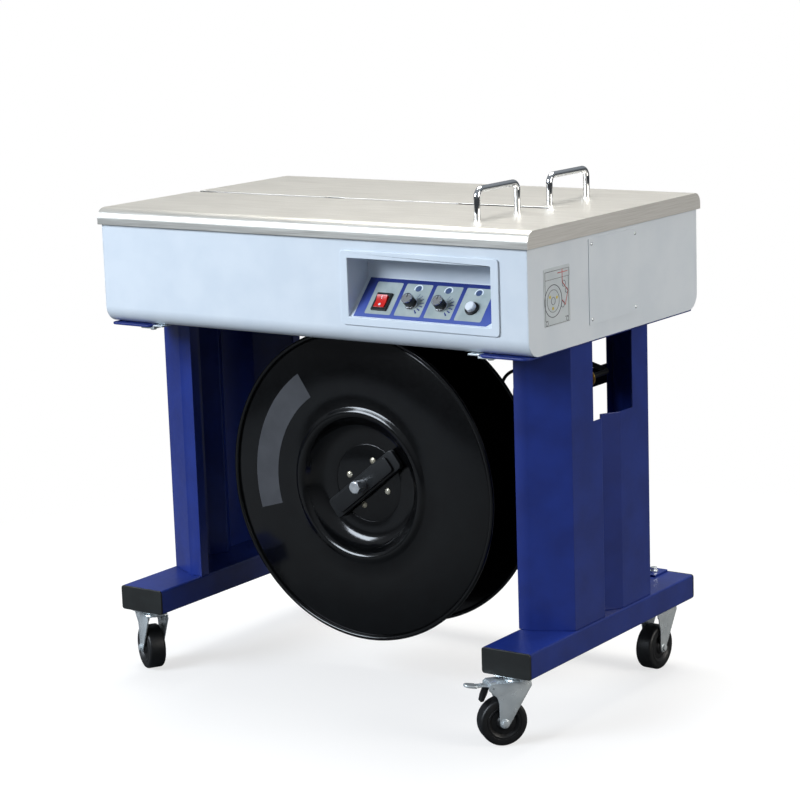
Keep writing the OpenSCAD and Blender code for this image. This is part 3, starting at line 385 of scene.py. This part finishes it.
def castRubber(name="castRubber"):
    # moulded rubber tread: near black, dull, with dust in its surface
    material, tree, shader = newMaterial(name, "#0d0e0f", 0.42)
    where = coords(tree)
    mottled(tree, shader, where, ("#09090a", "#131416"), 8, detail=6)
    roughened(tree, shader, where, 0.34, 0.55, 3)
    bumpy(tree, shader, where, 0.9, 0.05, 0.5)
    return material


def machinedSteel(name="machinedSteel", light="#9a9fa4", dark="#6d7277"):
    # turned and ground tool steel with a film of oil
    material, tree, shader = newMaterial(name, light, 0.35, 0.95)
    where = coords(tree)
    mottled(tree, shader, where, (dark, light), 9, detail=5)
    roughened(tree, shader, where, 0.25, 0.45, 2)
    bumpy(tree, shader, where, 0.7, 0.02, 0.3)
    return material


def printedFilm(name, light, dark, size=30, roughness=0.38):
    # polyester label film, printed from behind: flat colour under a satin skin
    material, tree, shader = newMaterial(name, light, roughness)
    where = coords(tree)
    mottled(tree, shader, where, (dark, light), size)
    roughened(tree, shader, where, roughness - 0.05, roughness + 0.06, 3)
    bumpy(tree, shader, where, 0.8, 0.015, 0.3)
    return material


cabinetPaint = powderCoat("cabinetPaint", "#dfe6ed", "#d9e1e9", 0.42)
framePaint = powderCoat("framePaint", "#e0e8f0", "#dae3ec", 0.38)
bluePaint = powderCoat("bluePaint", "#1c3180", "#192b73", 0.34, coat=0.12)
stainlessX = brushedStainless("stainlessX", "#e9e6df", "#cbc7bf", "X")
# a lighter, less metallic copy of the stainless for the lid's end skirts: painted light, besides the grain
# running the other way
stainlessYPaintedLight = brushedStainless("stainlessYPaintedLight", "#efede9", "#dbd8d2", "Y", 0.42, 0.45)
zinc = zincPlate()
yellowZinc = zincPlate("screwZinc", "#d8d2c0", "#b5ad98")
chrome = chromePlate()
blackAbs = mouldedPlastic("blackAbs", "#141618", "#0e0f11", 0.38)
knobPlastic = mouldedPlastic("knobPhenolic", "#08090a", "#050506", 0.24, grain=3, depth=0.01)
capPlastic = mouldedPlastic("capPolypropylene", "#1c1f1e", "#151716", 0.5, grain=1.2, depth=0.06)
reelPlastic = mouldedPlastic("reelPolystyrene", "#08090a", "#050506", 0.14, grain=6, depth=0.03)
drumPlastic = mouldedPlastic("drumPolystyrene", "#131417", "#0d0e10", 0.34)
redPlastic = mouldedPlastic("redPolycarbonate", "#e02018", "#c01612", 0.22, grain=2, depth=0.01)
whitePlastic = mouldedPlastic("whiteAbs", "#eef2f6", "#e0e6ec", 0.3, grain=2, depth=0.01)
rubber = castRubber()
toolSteel = machinedSteel()
darkSteel = machinedSteel("blackenedSteel", "#4b4f54", "#33363a")
silverCap = machinedSteel("spunAluminium", "#f2f4f6", "#d5d9dc")
blackPaint = powderCoat("blackPaint", "#17181b", "#101113", 0.34)
greyPaint = powderCoat("greyPaint", "#868b91", "#7b8086", 0.45)
motorPaint = powderCoat("motorPaint", "#57675f", "#4b5a52", 0.45)
brassMetal = machinedSteel("turnedBrass", "#c7aa66", "#a3854a")
boardResin = mouldedPlastic("glassEpoxyBoard", "#1f6b45", "#185638", 0.4)
print("materials made")


# frames to model in
def jointPlace(name):
    return Vector(joints[name]["pos_m"])


def facing(axis, origin, right=(1, 0, 0)):
    # a place whose local Z runs along axis and whose local X is as near to right as it can be
    z = Vector(axis).normalized()
    y = z.cross(Vector(right)).normalized()
    x = y.cross(z)
    turn = Matrix((x, y, z)).transposed().to_4x4()
    return Matrix.Translation(origin) @ turn


slopeAxis = joints["feed_knob_turn"]["axis"]
knobPitch = jointPlace("tension_knob_turn").x - jointPlace("feed_knob_turn").x


def onSlope(step):
    # on the sloped panel at the place of a control: 0 rocker, 1 and 2 knobs, 3 button
    return facing(slopeAxis, jointPlace("feed_knob_turn") + Vector(((step - 1) * knobPitch, 0, 0)))


def castorPlace(corner):
    # on the floor under a castor's swivel, with local X along its trail
    swivel = jointPlace(corner + "_swivel")
    trail = jointPlace(corner + "_roll") - swivel
    return (Matrix.Translation((swivel.x, swivel.y, 0))
            @ Matrix.Rotation(math.atan2(trail.y, trail.x), 4, "Z"))


def onReel(height):
    # on the reel's axis at this Y in millimetres, with local Z towards the front
    centre = jointPlace("reel_spin")
    return facing((0, -1, 0), (centre.x, height * mm, centre.z))


# sheet metal: the lid, the cabinet and the legs
sheetEdges = {"lid": 0.5, "front_panel": 0.5, "rear_panel": 0.5, "left_end_panel": 0.5,
              "right_end_panel": 0.5, "access_cover": 0.4, "left_leg": 1.1, "right_leg": 1.1,
              "top_plates": 1.0, "rear_stretcher": 1.0, "tray_clips": 0.6}


def byFace(obj, test, material):
    # a second material on the faces whose outward direction passes the test
    obj.data.materials.append(material)
    for face in obj.data.polygons:
        if test(face.normal):
            face.material_index = len(obj.data.materials) - 1


def coated(node, name, material, body="machine", round=0, segments=2, faceAngle=35):
    # a CAD node's shape with softened edges and its own finish, standing in for that node
    return piece(tidyCopy(node, round, segments, faceAngle=faceAngle), name, body, material, [node])


lid = coated("lid", "lidSheet", stainlessX, "lid", sheetEdges["lid"], 3)
# the end skirts are ground the other way; their copy of the stainless is also lighter and less metallic,
# which paints extra light on them
byFace(lid, lambda n: abs(n.x) > 0.7, stainlessYPaintedLight)


for node in ("front_panel", "rear_panel", "left_end_panel", "right_end_panel", "access_cover"):
    coated(node, node + "Sheet", cabinetPaint, round=sheetEdges[node])
coated("control_frame", "controlFrameBezel", framePaint, round=1.2, segments=3)
for node in ("left_leg", "right_leg", "top_plates", "rear_stretcher"):
    coated(node, node + "Sheet", bluePaint, round=sheetEdges[node], segments=3, faceAngle=50)
for node in ("base_tubes", "reel_hanger"):
    coated(node, node + "Body", bluePaint, round=0.4)
coated("strap_track", "strapTrackBody", bluePaint, round=0.3)
coated("floor_tray", "floorTraySheet", greyPaint)
coated("tray_clips", "trayClipPlates", zinc, round=sheetEdges["tray_clips"])
coated("tube_caps", "tubeCapPlugs", capPlastic, round=1.0, segments=3)
print("sheet metal made")


# small steel
coated("frame_bolts", "frameBoltHeads", zinc, round=0.35)
coated("hinge_leaves", "hingeLeavesFixed", zinc, round=0.2)
coated("lid_hinges", "hingeLeavesLid", zinc, "lid", 0.2)
coated("lid_handles", "lidHandleBars", chrome, "lid")
coated("strap_arm", "strapArmRod", blackPaint, "strap_arm")
coated("strap_guide", "strapGuideRods", blackPaint, round=0.3)
coated("arm_pivots", "armPivotBlocks", zinc, round=0.6)
coated("arm_roller", "armRollerTurned", brassMetal, "arm_roller", 0.4)
coated("castor_plates", "castorTopPlates", zinc, round=0.4)
print("small steel made")


# works under the lid
coated("head_frame", "headFrameBlock", toolSteel, round=0.6)
coated("gear_motor", "gearMotorBody", motorPaint, round=1.0)
coated("transformer", "transformerCore", darkSteel, round=0.8)
coated("circuit_board", "circuitBoardCard", boardResin, round=0.2)
coated("power_inlet", "powerInletBody", blackAbs, round=0.6)
coated("camshaft", "camshaftTurned", toolSteel, "camshaft", 0.4)
coated("motor_pinion", "motorPinionTurned", toolSteel, "motor_pinion", 0.4)
coated("feed_roller", "feedRollerTurned", toolSteel, "feed_roller", 0.4)
coated("anvil", "anvilPlate", darkSteel, "anvil", 0.3)
print("works made")


# control panel
panel = {"labelLeft": -103.5, "labelRight": 165.5, "labelLow": -30.5, "labelHigh": 47.5,
         "cutCorner": 9, "block": (51.5, 64), "blockMiddle": 8, "icon": 31, "iconRadius": 8.2,
         "tickInner": 14.5, "tickLength": 8, "ticks": 7}

labelFilm, tree, shader = newMaterial("gradientLabelFilm", "#31409a", 0.36)
where = coords(tree)
height = addNode(tree, "SeparateXYZ", links={"Vector": where})
lowZ, highZ = (v.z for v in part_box("control_label"))
across = addNode(tree, "MapRange", {"From Min": lowZ, "From Max": highZ},
                 {"Value": height.outputs["Z"]})
fade = addNode(tree, "ValToRGB", links={"Fac": across.outputs["Result"]})
# printed film that fades from a pale blue at its foot to navy at its head
labelFade = ((0.05, "#4d60aa"), (0.9, "#1f2f78"))
for stop, (position, colour) in zip(fade.color_ramp.elements, labelFade):
    stop.position = position
    stop.color = srgb(colour)
middle = fade.color_ramp.elements.new(0.45)
middle.color = srgb("#364899")
tree.links.new(fade.outputs["Color"], shader.inputs["Base Color"])
bumpy(tree, shader, where, 0.8, 0.015, 0.3)
blockFilm = printedFilm("greyBlockFilm", "#aeb8b6", "#9ca8a8", 26)
iconWhite = printedFilm("whiteInk", "#eef3fa", "#e2e9f2", 6)
iconBlue = printedFilm("slateInk", "#46587f", "#3a4b72", 6)
tickBlue = printedFilm("navyInk", "#22347f", "#1b2a6b", 6)

left, right = panel["labelLeft"], panel["labelRight"]
low, high = panel["labelLow"], panel["labelHigh"]
cut = panel["cutCorner"]
outline = [(left, low), (right - cut, low), (right, low + cut), (right, high), (left, high)]
label = put(slab(outline, -0.8, 0.05), onSlope(1))
piece(label, "controlLabelSheet", "machine", labelFilm, ["control_label"])

blocks = []
for step in range(4):
    w, h = panel["block"]
    block = slab(roundRect(w, h, 2.5, 0, panel["blockMiddle"]), 0.05, 0.2)
    blocks.append(put(block, onSlope(step)))
piece(join(blocks, "labelBlocks"), "labelBlocks", "machine", blockFilm)

icons, discs, ticks = [], [], []
for step in (1, 2, 3):
    y, r = panel["icon"], panel["iconRadius"]
    ring = arc(0, y, r, -20, 205, 20) + arc(0, y, r - 1.9, 205, -20, 20)
    icons.append(put(slab(ring, 0.2, 0.32), onSlope(step)))
    discs.append(put(slab(arc(0, y, r - 2.6, 0, 354, 30), 0.2, 0.3), onSlope(step)))
for step in (1, 2):
    for i in range(panel["ticks"]):
        share = i / (panel["ticks"] - 1)
        turn = math.radians(70 - 118 * share)
        wide = 0.4 + 1.1 * share
        inner, outer = panel["tickInner"], panel["tickInner"] + panel["tickLength"]
        out = Vector((math.cos(turn), math.sin(turn)))
        side = Vector((-out.y, out.x))
        corners = [out * inner + side * wide * 0.5, out * outer + side * wide,
                   out * outer - side * wide, out * inner - side * wide * 0.5]
        ticks.append(put(slab([tuple(c) for c in corners], 0.2, 0.3), onSlope(step)))
piece(join(icons, "labelRings"), "labelRings", "machine", iconWhite)
piece(join(discs, "labelDiscs"), "labelDiscs", "machine", iconBlue)
piece(join(ticks, "labelTicks"), "labelTicks", "machine", tickBlue)

coated("switch_housing", "switchHousingBezel", blackAbs, round=0.5)
coated("knob_pots", "knobPotCans", zinc, round=0.3)
coated("rocker", "rockerKey", redPlastic, "rocker", 0.6, 3)
# a bar and a disc, one on each wing of the rocker
rockerMark = {"pivot": -2, "tilt": 7, "lift": 6.4, "wingTilt": 10.3, "line": (1.1, 4.6), "disc": 2.3,
              "out": 6.2}
rockerPlace = (onSlope(0) @ Matrix.Translation((0, 0, rockerMark["pivot"] * mm))
               @ Matrix.Rotation(math.radians(rockerMark["tilt"]), 4, "X")
               @ Matrix.Translation((0, 0, rockerMark["lift"] * mm)))
rockerInks = []
rockerShapes = {1: roundRect(*rockerMark["line"], 0.4), -1: arc(0, 0, rockerMark["disc"], 0, 345, 24)}
for s, shape in rockerShapes.items():
    wing = (rockerPlace @ Matrix.Rotation(math.radians(s * rockerMark["wingTilt"]), 4, "X")
            @ Matrix.Translation((0, s * rockerMark["out"] * mm, 0)))
    rockerInks.append(put(slab(shape, 0.02, 0.12), wing))
piece(join(rockerInks, "rockerMarks"), "rockerMarks", "rocker", whitePlastic)
coated("button_housing", "buttonCollar", blackAbs, round=0.7, segments=3)
coated("push_button", "pushButtonCap", whitePlastic, "push_button", 1.0, 3)

knob = {"radius": 9.6, "flutes": 24, "fluteDepth": 0.35, "skirt": 11.2, "height": 20.5, "foot": 1.2,
        "skirtHeight": 1.6, "mark": (1.3, 7.5)}


def knobPieces(step, body, node):
    flutes, r, top = knob["flutes"], knob["radius"], knob["height"]
    turns = [2 * math.pi * i / (flutes * 4) for i in range(flutes * 4)]
    reaches = [r + knob["fluteDepth"] * math.cos(flutes * t) for t in turns]
    outline = [(reach * math.cos(t), reach * math.sin(t)) for reach, t in zip(reaches, turns)]
    grip = put(slab(outline, knob["foot"] + 1.5, top - 1.2, 0.35, 2, 50), onSlope(step))
    smooth(grip, 30)
    piece(grip, node + "Grip", body, knobPlastic, [node])
    skirt, low, high = knob["skirt"], knob["foot"], knob["foot"] + knob["skirtHeight"]
    foot = lathe([(0, low), (skirt, low), (skirt, high - 0.6), (skirt - 0.6, high), (0, high)], 64, False)
    put(foot, onSlope(step))
    cap = put(lathe([(0, top - 2), (r + 0.2, top - 2), (r + 0.2, top - 1.2), (r - 0.4, top - 0.2),
                     (r - 1.4, top), (r - 2, top - 0.5), (0, top - 0.5)], 64, False), onSlope(step))
    mark = put(slab(roundRect(*knob["mark"], 0.5, 0, r - 5), top - 0.6, top - 0.25), onSlope(step))
    trim = join([foot, cap], node + "Trim")
    smooth(trim, 30)
    piece(trim, node + "Trim", body, chrome)
    piece(mark, node + "Mark", body, blackAbs)


knobPieces(1, "feed_knob", "feed_knob")
knobPieces(2, "tension_knob", "tension_knob")
print("control panel made")


# reel
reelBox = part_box("reel_front_flange")
rim = (reelBox[1].x - reelBox[0].x) / 2 / mm
rimPlane = reelBox[0].y / mm
reel = {"bead": 4, "ring": 129, "disc": 73, "dish": 30, "web": 3, "bore": 16.6, "steps": 180}


def turnedOnReel(profile):
    # a profile of (radius, Y) points turned about the reel's axis
    obj = put(lathe([(r, -y) for r, y in profile], reel["steps"]), onReel(0))
    smooth(obj)
    return obj


face = rimPlane + reel["bead"]
disc = rimPlane + reel["dish"]
web, bore = reel["web"], reel["bore"]
beadArc = [(rim - reel["bead"] + x, face + y) for x, y in arc(0, 0, reel["bead"], 150, -150, 14)]
ring = reel["ring"]
front = (beadArc[::-1]
         + [(rim - 12, face), (ring + 40, face), (ring + 12, face)]
         + [(ring + 9, face - 1.2), (ring + 6, face - 3.6), (ring + 3, face - 5), (ring, face - 5.5),
            (ring - 3, face - 5), (ring - 6, face - 3.3), (ring - 8.5, face - 1)]
         + [(ring - 10.5, face + 3), (ring - 18, face + 14), (ring - 27, face + 22),
            (ring - 36, face + 25.3), (ring - 43, disc - 0.8), (ring - 47, disc)]
         + [(reel["disc"] - 2, disc), (reel["disc"] - 4, disc + 0.7), (reel["disc"] - 6, disc),
            (bore, disc)]
         + [(bore, disc + web), (ring - 42, disc + web), (ring - 24, face + 26), (ring - 7, face + 8),
            (ring + 2, face + web), (rim - 12, face + web), (rim - 8.2, face + web)])
piece(turnedOnReel(front), "reelFrontFlange", "reel", reelPlastic,
      ["reel_front_flange"])
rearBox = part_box("reel_rear_flange")
back = rearBox[1].y / mm - reel["bead"]
beadBack = [(rim - reel["bead"] + x, back - y) for x, y in arc(0, 0, reel["bead"], 150, -150, 14)]
rear = (beadBack[::-1]
        + [(rim - 12, back), (ring + 12, back), (ring + 6, back + 2.5), (ring, back + 3.2),
           (ring - 6, back + 2.5), (ring - 12, back), (bore, back)]
        + [(bore, back - web), (rim - 8.2, back - web)])
piece(turnedOnReel(rear), "reelRearFlange", "reel", reelPlastic, ["reel_rear_flange"])
coated("reel_drum", "reelDrumBody", drumPlastic, "reel", 0.4)
coated("reel_screws", "reelScrewHeads", yellowZinc, "reel", 0.2)

labelArc = {"inner": 180, "outer": 228, "from": 124, "to": 196}
greyLabel = printedFilm("greyPaperLabel", "#45464a", "#3d3e42", 40, 0.45)
patch = (arc(0, 0, labelArc["outer"], labelArc["from"], labelArc["to"], 40)
         + arc(0, 0, labelArc["inner"], labelArc["to"], labelArc["from"], 40))
piece(put(slab(patch, 0.05, 0.25), onReel(face)), "reelLabelArc", "reel", greyLabel)

bar = {"length": 176, "width": 38, "thick": 16, "step": 6, "turn": 38}
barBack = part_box("lock_bar")[1].y / mm
barPlace = onReel(barBack) @ Matrix.Rotation(math.radians(bar["turn"]), 4, "Z")
w, h, stepHeight = bar["length"], bar["width"], bar["thick"] - bar["step"]
base = slab(roundRect(w, h, 7), 0, stepHeight, 1.6, 3)
top = slab(roundRect(w - 30, h - 8, 6), stepHeight - 1, bar["thick"], 1.8, 3)
grip = join([base, top], "lockBarGrip")
put(grip, barPlace)
smooth(grip, 30)
piece(grip, "lockBarGrip", "lock_bar", blackAbs, ["lock_bar"])

coated("reel_shaft", "reelShaftTurned", silverCap, round=0.5, segments=3)
print("reel made")


# castors
castor = {"wheel": 40, "width": 31, "trail": 28, "sideGap": 17.5, "sheet": 2.5, "hood": 20,
          "lobe": 8.5, "ears": {True: 54, False: 45}, "race": 3.5, "pin": 46, "lever": 92,
          "leverHalf": 9.8}
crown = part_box("fork_front_left")[1].z / mm


def acrossFork(x, z, half, thickness):
    # a round bar across a castor's fork
    return rod([(x * mm, s * half * mm, z * mm) for s in (-1, 1)], thickness * mm)


def castorFork(corner, braked):
    body = "fork_" + corner
    ears = castor["ears"][braked]
    top = crown - castor["race"]
    trail, radius, wide = castor["trail"], castor["wheel"], castor["hood"]
    lobe = arc(trail, radius, castor["lobe"], 205, 355, 8)
    side = ([(-18, top), (-19, top - 8), (-15, top - 14)] + lobe
            + [(trail + 9, radius + 34), (trail + 12, radius + 45), (ears - 3, top - 13), (ears, top - 10),
               (ears, top - 3), (ears - 5, top)])
    sides = []
    for s in (-1, 1):
        y = s * (castor["sideGap"] + castor["sheet"] / 2)
        plate = slab(side, -castor["sheet"] / 2, castor["sheet"] / 2, 0.7, 2)
        put(plate, Matrix.Translation((0, y * mm, 0)) @ Matrix.Rotation(math.radians(90), 4, "X"))
        sides.append(plate)
    hood = slab([(-19, -wide), (ears - 4, -wide), (ears - 4, wide), (-19, wide)],
                top - 1.5, top + 0.6, 0.8, 2)
    cap = lathe([(0, top), (22.5, top), (23.5, top + 1.3), (22.5, crown - 0.6), (19, crown), (0, crown)],
                56, False)
    bolt = []
    for s in (-1, 1):
        reach = castor["sideGap"] + castor["sheet"]
        axleEnd = (Matrix.Translation((trail * mm, 0, radius * mm))
                   @ Matrix.Rotation(math.radians(-90 * s), 4, "X"))
        washer = lathe([(0, reach), (7.4, reach), (7.4, reach + 0.9), (6.9, reach + 1.3),
                        (0, reach + 1.3)], 40, False)
        nut = slab(arc(0, 0, 5.9, 0, 300, 5), reach + 1.2, reach + 4.2, 0.5, 2)
        bolt += [put(washer, axleEnd), put(nut, axleEnd)]
    pin = acrossFork(trail, radius, castor["sideGap"] + 1, 8)
    fork = join(sides + [hood, cap, pin] + bolt, body + "Pressing")
    put(fork, castorPlace(corner))
    smooth(fork, 40)
    piece(fork, body + "Pressing", body, zinc, [body])


def castorWheel(corner):
    body = "wheel_" + corner
    r, half = castor["wheel"], castor["width"] / 2
    tread = [(r - 5 + x, y) for x, y in arc(0, half - 5, 5, 90, 0, 6)]
    tread = tread + [(x, -y) for x, y in tread[::-1]]
    cheek = [(4.1, half + 1), (10, half + 1), (11.5, half), (13, half - 3), (21, half - 4.5),
             (24, half - 1), (25.5, half), (28, half), (28.6, half - 0.8), (29.4, half)]
    wheel = lathe(cheek + tread + [(x, -y) for x, y in cheek[::-1]], 96)
    put(wheel, castorPlace(corner) @ Matrix.Translation((castor["trail"] * mm, 0, r * mm))
        @ Matrix.Rotation(math.radians(90), 4, "X"))
    smooth(wheel, 30)
    piece(wheel, body + "Tyre", body, rubber, [body])


def castorPedal(side):
    # the brake's lever and the black shoe under it
    corner, body = "front_" + side, "pedal_" + side
    z = jointPlace("pedal_" + side + "_press").z / mm
    half, end = castor["leverHalf"], castor["lever"]
    bend = end - 20
    neck = [(40, -15), (50, -14), (57, -half + 1), (64, -half + 2), (bend, -half)]
    lever = slab(neck + [(x, -y) for x, y in neck[::-1]], z + 0.5, z + 3, 0.8, 3)
    tip = slab([(-1.5, -half)] + arc(end - bend - half, 0, half, -80, 80, 12) + [(-1.5, half)],
               -2.2, 2.2, 1.6, 4)
    put(tip, Matrix.Translation((bend * mm, 0, (z + 1.8) * mm))
        @ Matrix.Rotation(math.radians(-10), 4, "Y"))
    lip = acrossFork(62, z + 3, 6, 2.6)
    pin = acrossFork(castor["pin"], z, castor["sideGap"] + castor["sheet"], 4)
    knuckles = acrossFork(castor["pin"], z, castor["sideGap"] - 1.5, 8)
    metal = join([lever, tip, lip, knuckles, pin], body + "Lever")
    put(metal, castorPlace(corner))
    smooth(metal, 40)
    piece(metal, body + "Lever", body, zinc, [body])
    shoe = slab([(50, z + 0.5), (57, z + 0.5), (63, z - 14), (65.5, z - 24.5), (60, z - 24),
                 (54, z - 12)], -8, 8, 0.8, 2)
    put(shoe, castorPlace(corner) @ Matrix.Rotation(math.radians(90), 4, "X"))
    smooth(shoe)
    piece(shoe, body + "Shoe", body, blackAbs)


for corner in ("front_left", "front_right", "rear_left", "rear_right"):
    castorFork(corner, corner.startswith("front"))
    castorWheel(corner)
for side in ("left", "right"):
    castorPedal(side)
print("castors made")


# strap path plate
plateFilm = printedFilm("paleGreyFilm", "#cfd6da", "#c5cdd2", 30)
ink = printedFilm("greyInk", "#474c54", "#3a3f46", 8)
redInk = printedFilm("redInk", "#c8322c", "#b52822", 8)
yellowInk = printedFilm("yellowInk", "#d9c542", "#c8b334", 8)
plateLow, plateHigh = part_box("path_plate")
plateMiddle = (plateLow + plateHigh) / 2
plateWide, plateTall = (plateHigh.y - plateLow.y) / mm, (plateHigh.z - plateLow.z) / mm
platePlace = facing((1, 0, 0), (plateLow.x, plateMiddle.y, plateMiddle.z), (0, 1, 0))
film = put(slab(roundRect(plateWide, plateTall, 4), 0, 0.6, 0.2), platePlace)
piece(film, "pathPlateFilm", "machine", plateFilm, ["path_plate"])


def inked(points, wide):
    path = [platePlace @ (Vector((x, y, 0.65)) * mm) for x, y in points]
    return rod(path, wide * mm, sides=1)


# the machine's outline, its reel, its rollers and its castors, as a plain line drawing
drawnReel = (-12, -7)
rings = [(*drawnReel, 26, 1.2, 40), (*drawnReel, 18, 0.8, 40), (*drawnReel, 6, 0.9, 40),
         (21, 17, 5, 0.9, 40), (29, 5, 4, 0.9, 40), (17, -16, 5, 0.9, 40),
         (-32, -41, 3.4, 0.8, 24), (31, -41, 3.4, 0.8, 24)]
drawing = [inked([(-36, 41), (37, 41), (37, 28), (-36, 28), (-36, 41)], 0.9),
           inked([(-36, 28), (-36, -37), (-28, -37)], 0.9),
           inked([(35, 28), (35, -37), (24, -37)], 0.9), inked([(-38, -45), (38, -45)], 0.7)]
drawing += [inked(arc(x, y, r, 0, 360, steps), wide) for x, y, r, wide, steps in rings]
piece(join(drawing, "pathDrawing"), "pathDrawing", "machine", ink)
strap = [inked([(14, -8), (24, -18), (33, 4), (25, 12), (16, 20), (16, 41)], 1.4),
         inked([(2, 36), (32, 36)], 1.2)]
piece(join(strap, "pathStrap"), "pathStrap", "machine", redInk)
marks = []
for t in (0.4, 2.5, 4.6):
    x, y = drawnReel[0] + 12 * math.cos(t), drawnReel[1] + 12 * math.sin(t)
    marks.append(put(slab(arc(x, y, 2.6, 0, 345, 16), 0.6, 0.85), platePlace))
piece(join(marks, "pathMarks"), "pathMarks", "machine", yellowInk)
print("strap path plate made")


# a white paper floor and soft boxes: a cool one in front on the left, a neutral one on the right
studio = {"floorSize": 14, "paper": ("#f2f2f2", "#f7f7f7"), "bounce": "#585a5c",
          "shadowNear": 0.45, "shadowFar": 1.5, "burntNear": 0.68,
          "backdrop": "#ffffff", "sky": "#c9d0d8", "ground": "#3c3e40", "skyStrength": 0.45}
lights = {"key": {"place": (-2.2, -4.0, 2.9), "size": (2.6, 2.0), "watts": 290, "colour": "#e6f0fb"},
          "right": {"place": (4.2, 0.4, 1.9), "size": (1.8, 1.8), "watts": 85, "colour": "#fffaf2"},
          "top": {"place": (-0.3, 0.9, 3.6), "size": (2.6, 2.0), "watts": 150, "colour": "#fffdf8"}}

floorPaint, tree, shader = newMaterial("studioPaper", studio["paper"][0], 0.9)
where = coords(tree)
mottled(tree, shader, where, studio["paper"], 900)
paper = shader.inputs["Base Color"].links[0].from_socket
seen = addNode(tree, "LightPath")
bounce = addNode(tree, "Mix", {"data_type": "RGBA"}, {"Factor": seen.outputs["Is Camera Ray"]})
bounce.inputs["A"].default_value = srgb(studio["bounce"])
tree.links.new(paper, bounce.inputs["B"])
tree.links.new(bounce.outputs["Result"], shader.inputs["Base Color"])
# the paper burns out to white away from the machine, as under a bright backdrop
away = addNode(tree, "VectorMath", {"operation": "LENGTH"}, {"Vector": where})
burnt = addNode(tree, "MapRange",
                {"From Min": studio["shadowNear"], "From Max": studio["shadowFar"],
                 "To Min": studio["burntNear"], "To Max": 1.0}, {"Value": away.outputs["Value"]})
seenBurnt = addNode(tree, "Math", {"operation": "MULTIPLY"})
tree.links.new(burnt.outputs["Result"], seenBurnt.inputs[0])
tree.links.new(seen.outputs["Is Camera Ray"], seenBurnt.inputs[1])
glow = addNode(tree, "Emission", {"Color": srgb(studio["backdrop"]), "Strength": 1.0})
paperMix = addNode(tree, "MixShader", links={"Fac": seenBurnt.outputs["Value"]})
tree.links.new(shader.outputs["BSDF"], paperMix.inputs[1])
tree.links.new(glow.outputs["Emission"], paperMix.inputs[2])
tree.links.new(paperMix.outputs["Shader"], tree.nodes["Material Output"].inputs["Surface"])
bpy.ops.object.select_all(action="DESELECT")
bpy.ops.mesh.primitive_plane_add(size=studio["floorSize"], location=(0, 0, -0.0005))
floor = put(bpy.context.object)
floor.name = "floor"
floor.data.materials.append(floorPaint)

world = bpy.data.worlds.new("studio")
bpy.context.scene.world = world
world.use_nodes = True
tree = world.node_tree
around = tree.nodes["Background"]
around.inputs["Strength"].default_value = studio["skyStrength"]
direction = addNode(tree, "TexCoord")
height = addNode(tree, "SeparateXYZ", links={"Vector": direction.outputs["Generated"]})
rise = addNode(tree, "MapRange", {"From Min": -0.15, "From Max": 0.5},
               {"Value": height.outputs["Z"]})
fade = addNode(tree, "ValToRGB", links={"Fac": rise.outputs["Result"]})
fade.color_ramp.elements[0].color = srgb(studio["ground"])
fade.color_ramp.elements[1].color = srgb(studio["sky"])
tree.links.new(fade.outputs["Color"], around.inputs["Color"])
plain = addNode(tree, "Background", {"Color": srgb(studio["backdrop"]), "Strength": 1.0})
seen = addNode(tree, "LightPath")
choice = addNode(tree, "MixShader", links={"Fac": seen.outputs["Is Camera Ray"]})
tree.links.new(around.outputs[0], choice.inputs[1])
tree.links.new(plain.outputs[0], choice.inputs[2])
tree.links.new(choice.outputs[0], tree.nodes["World Output"].inputs["Surface"])

for name, box in lights.items():
    lamp = bpy.data.lights.new(name, "AREA")
    lamp.shape = "RECTANGLE"
    lamp.size, lamp.size_y = box["size"]
    lamp.energy = box["watts"]
    lamp.color = srgb(box["colour"])[:3]
    holder = bpy.data.objects.new(name, lamp)
    bpy.context.scene.collection.objects.link(holder)
    aim = Vector((0, 0, 0.5)) - Vector(box["place"])
    holder.matrix_world = (Matrix.Translation(box["place"])
                           @ aim.to_track_quat("-Z", "Y").to_matrix().to_4x4())
bpy.context.scene.view_settings.view_transform = "Standard"
print("studio made")

low, high = cadBox
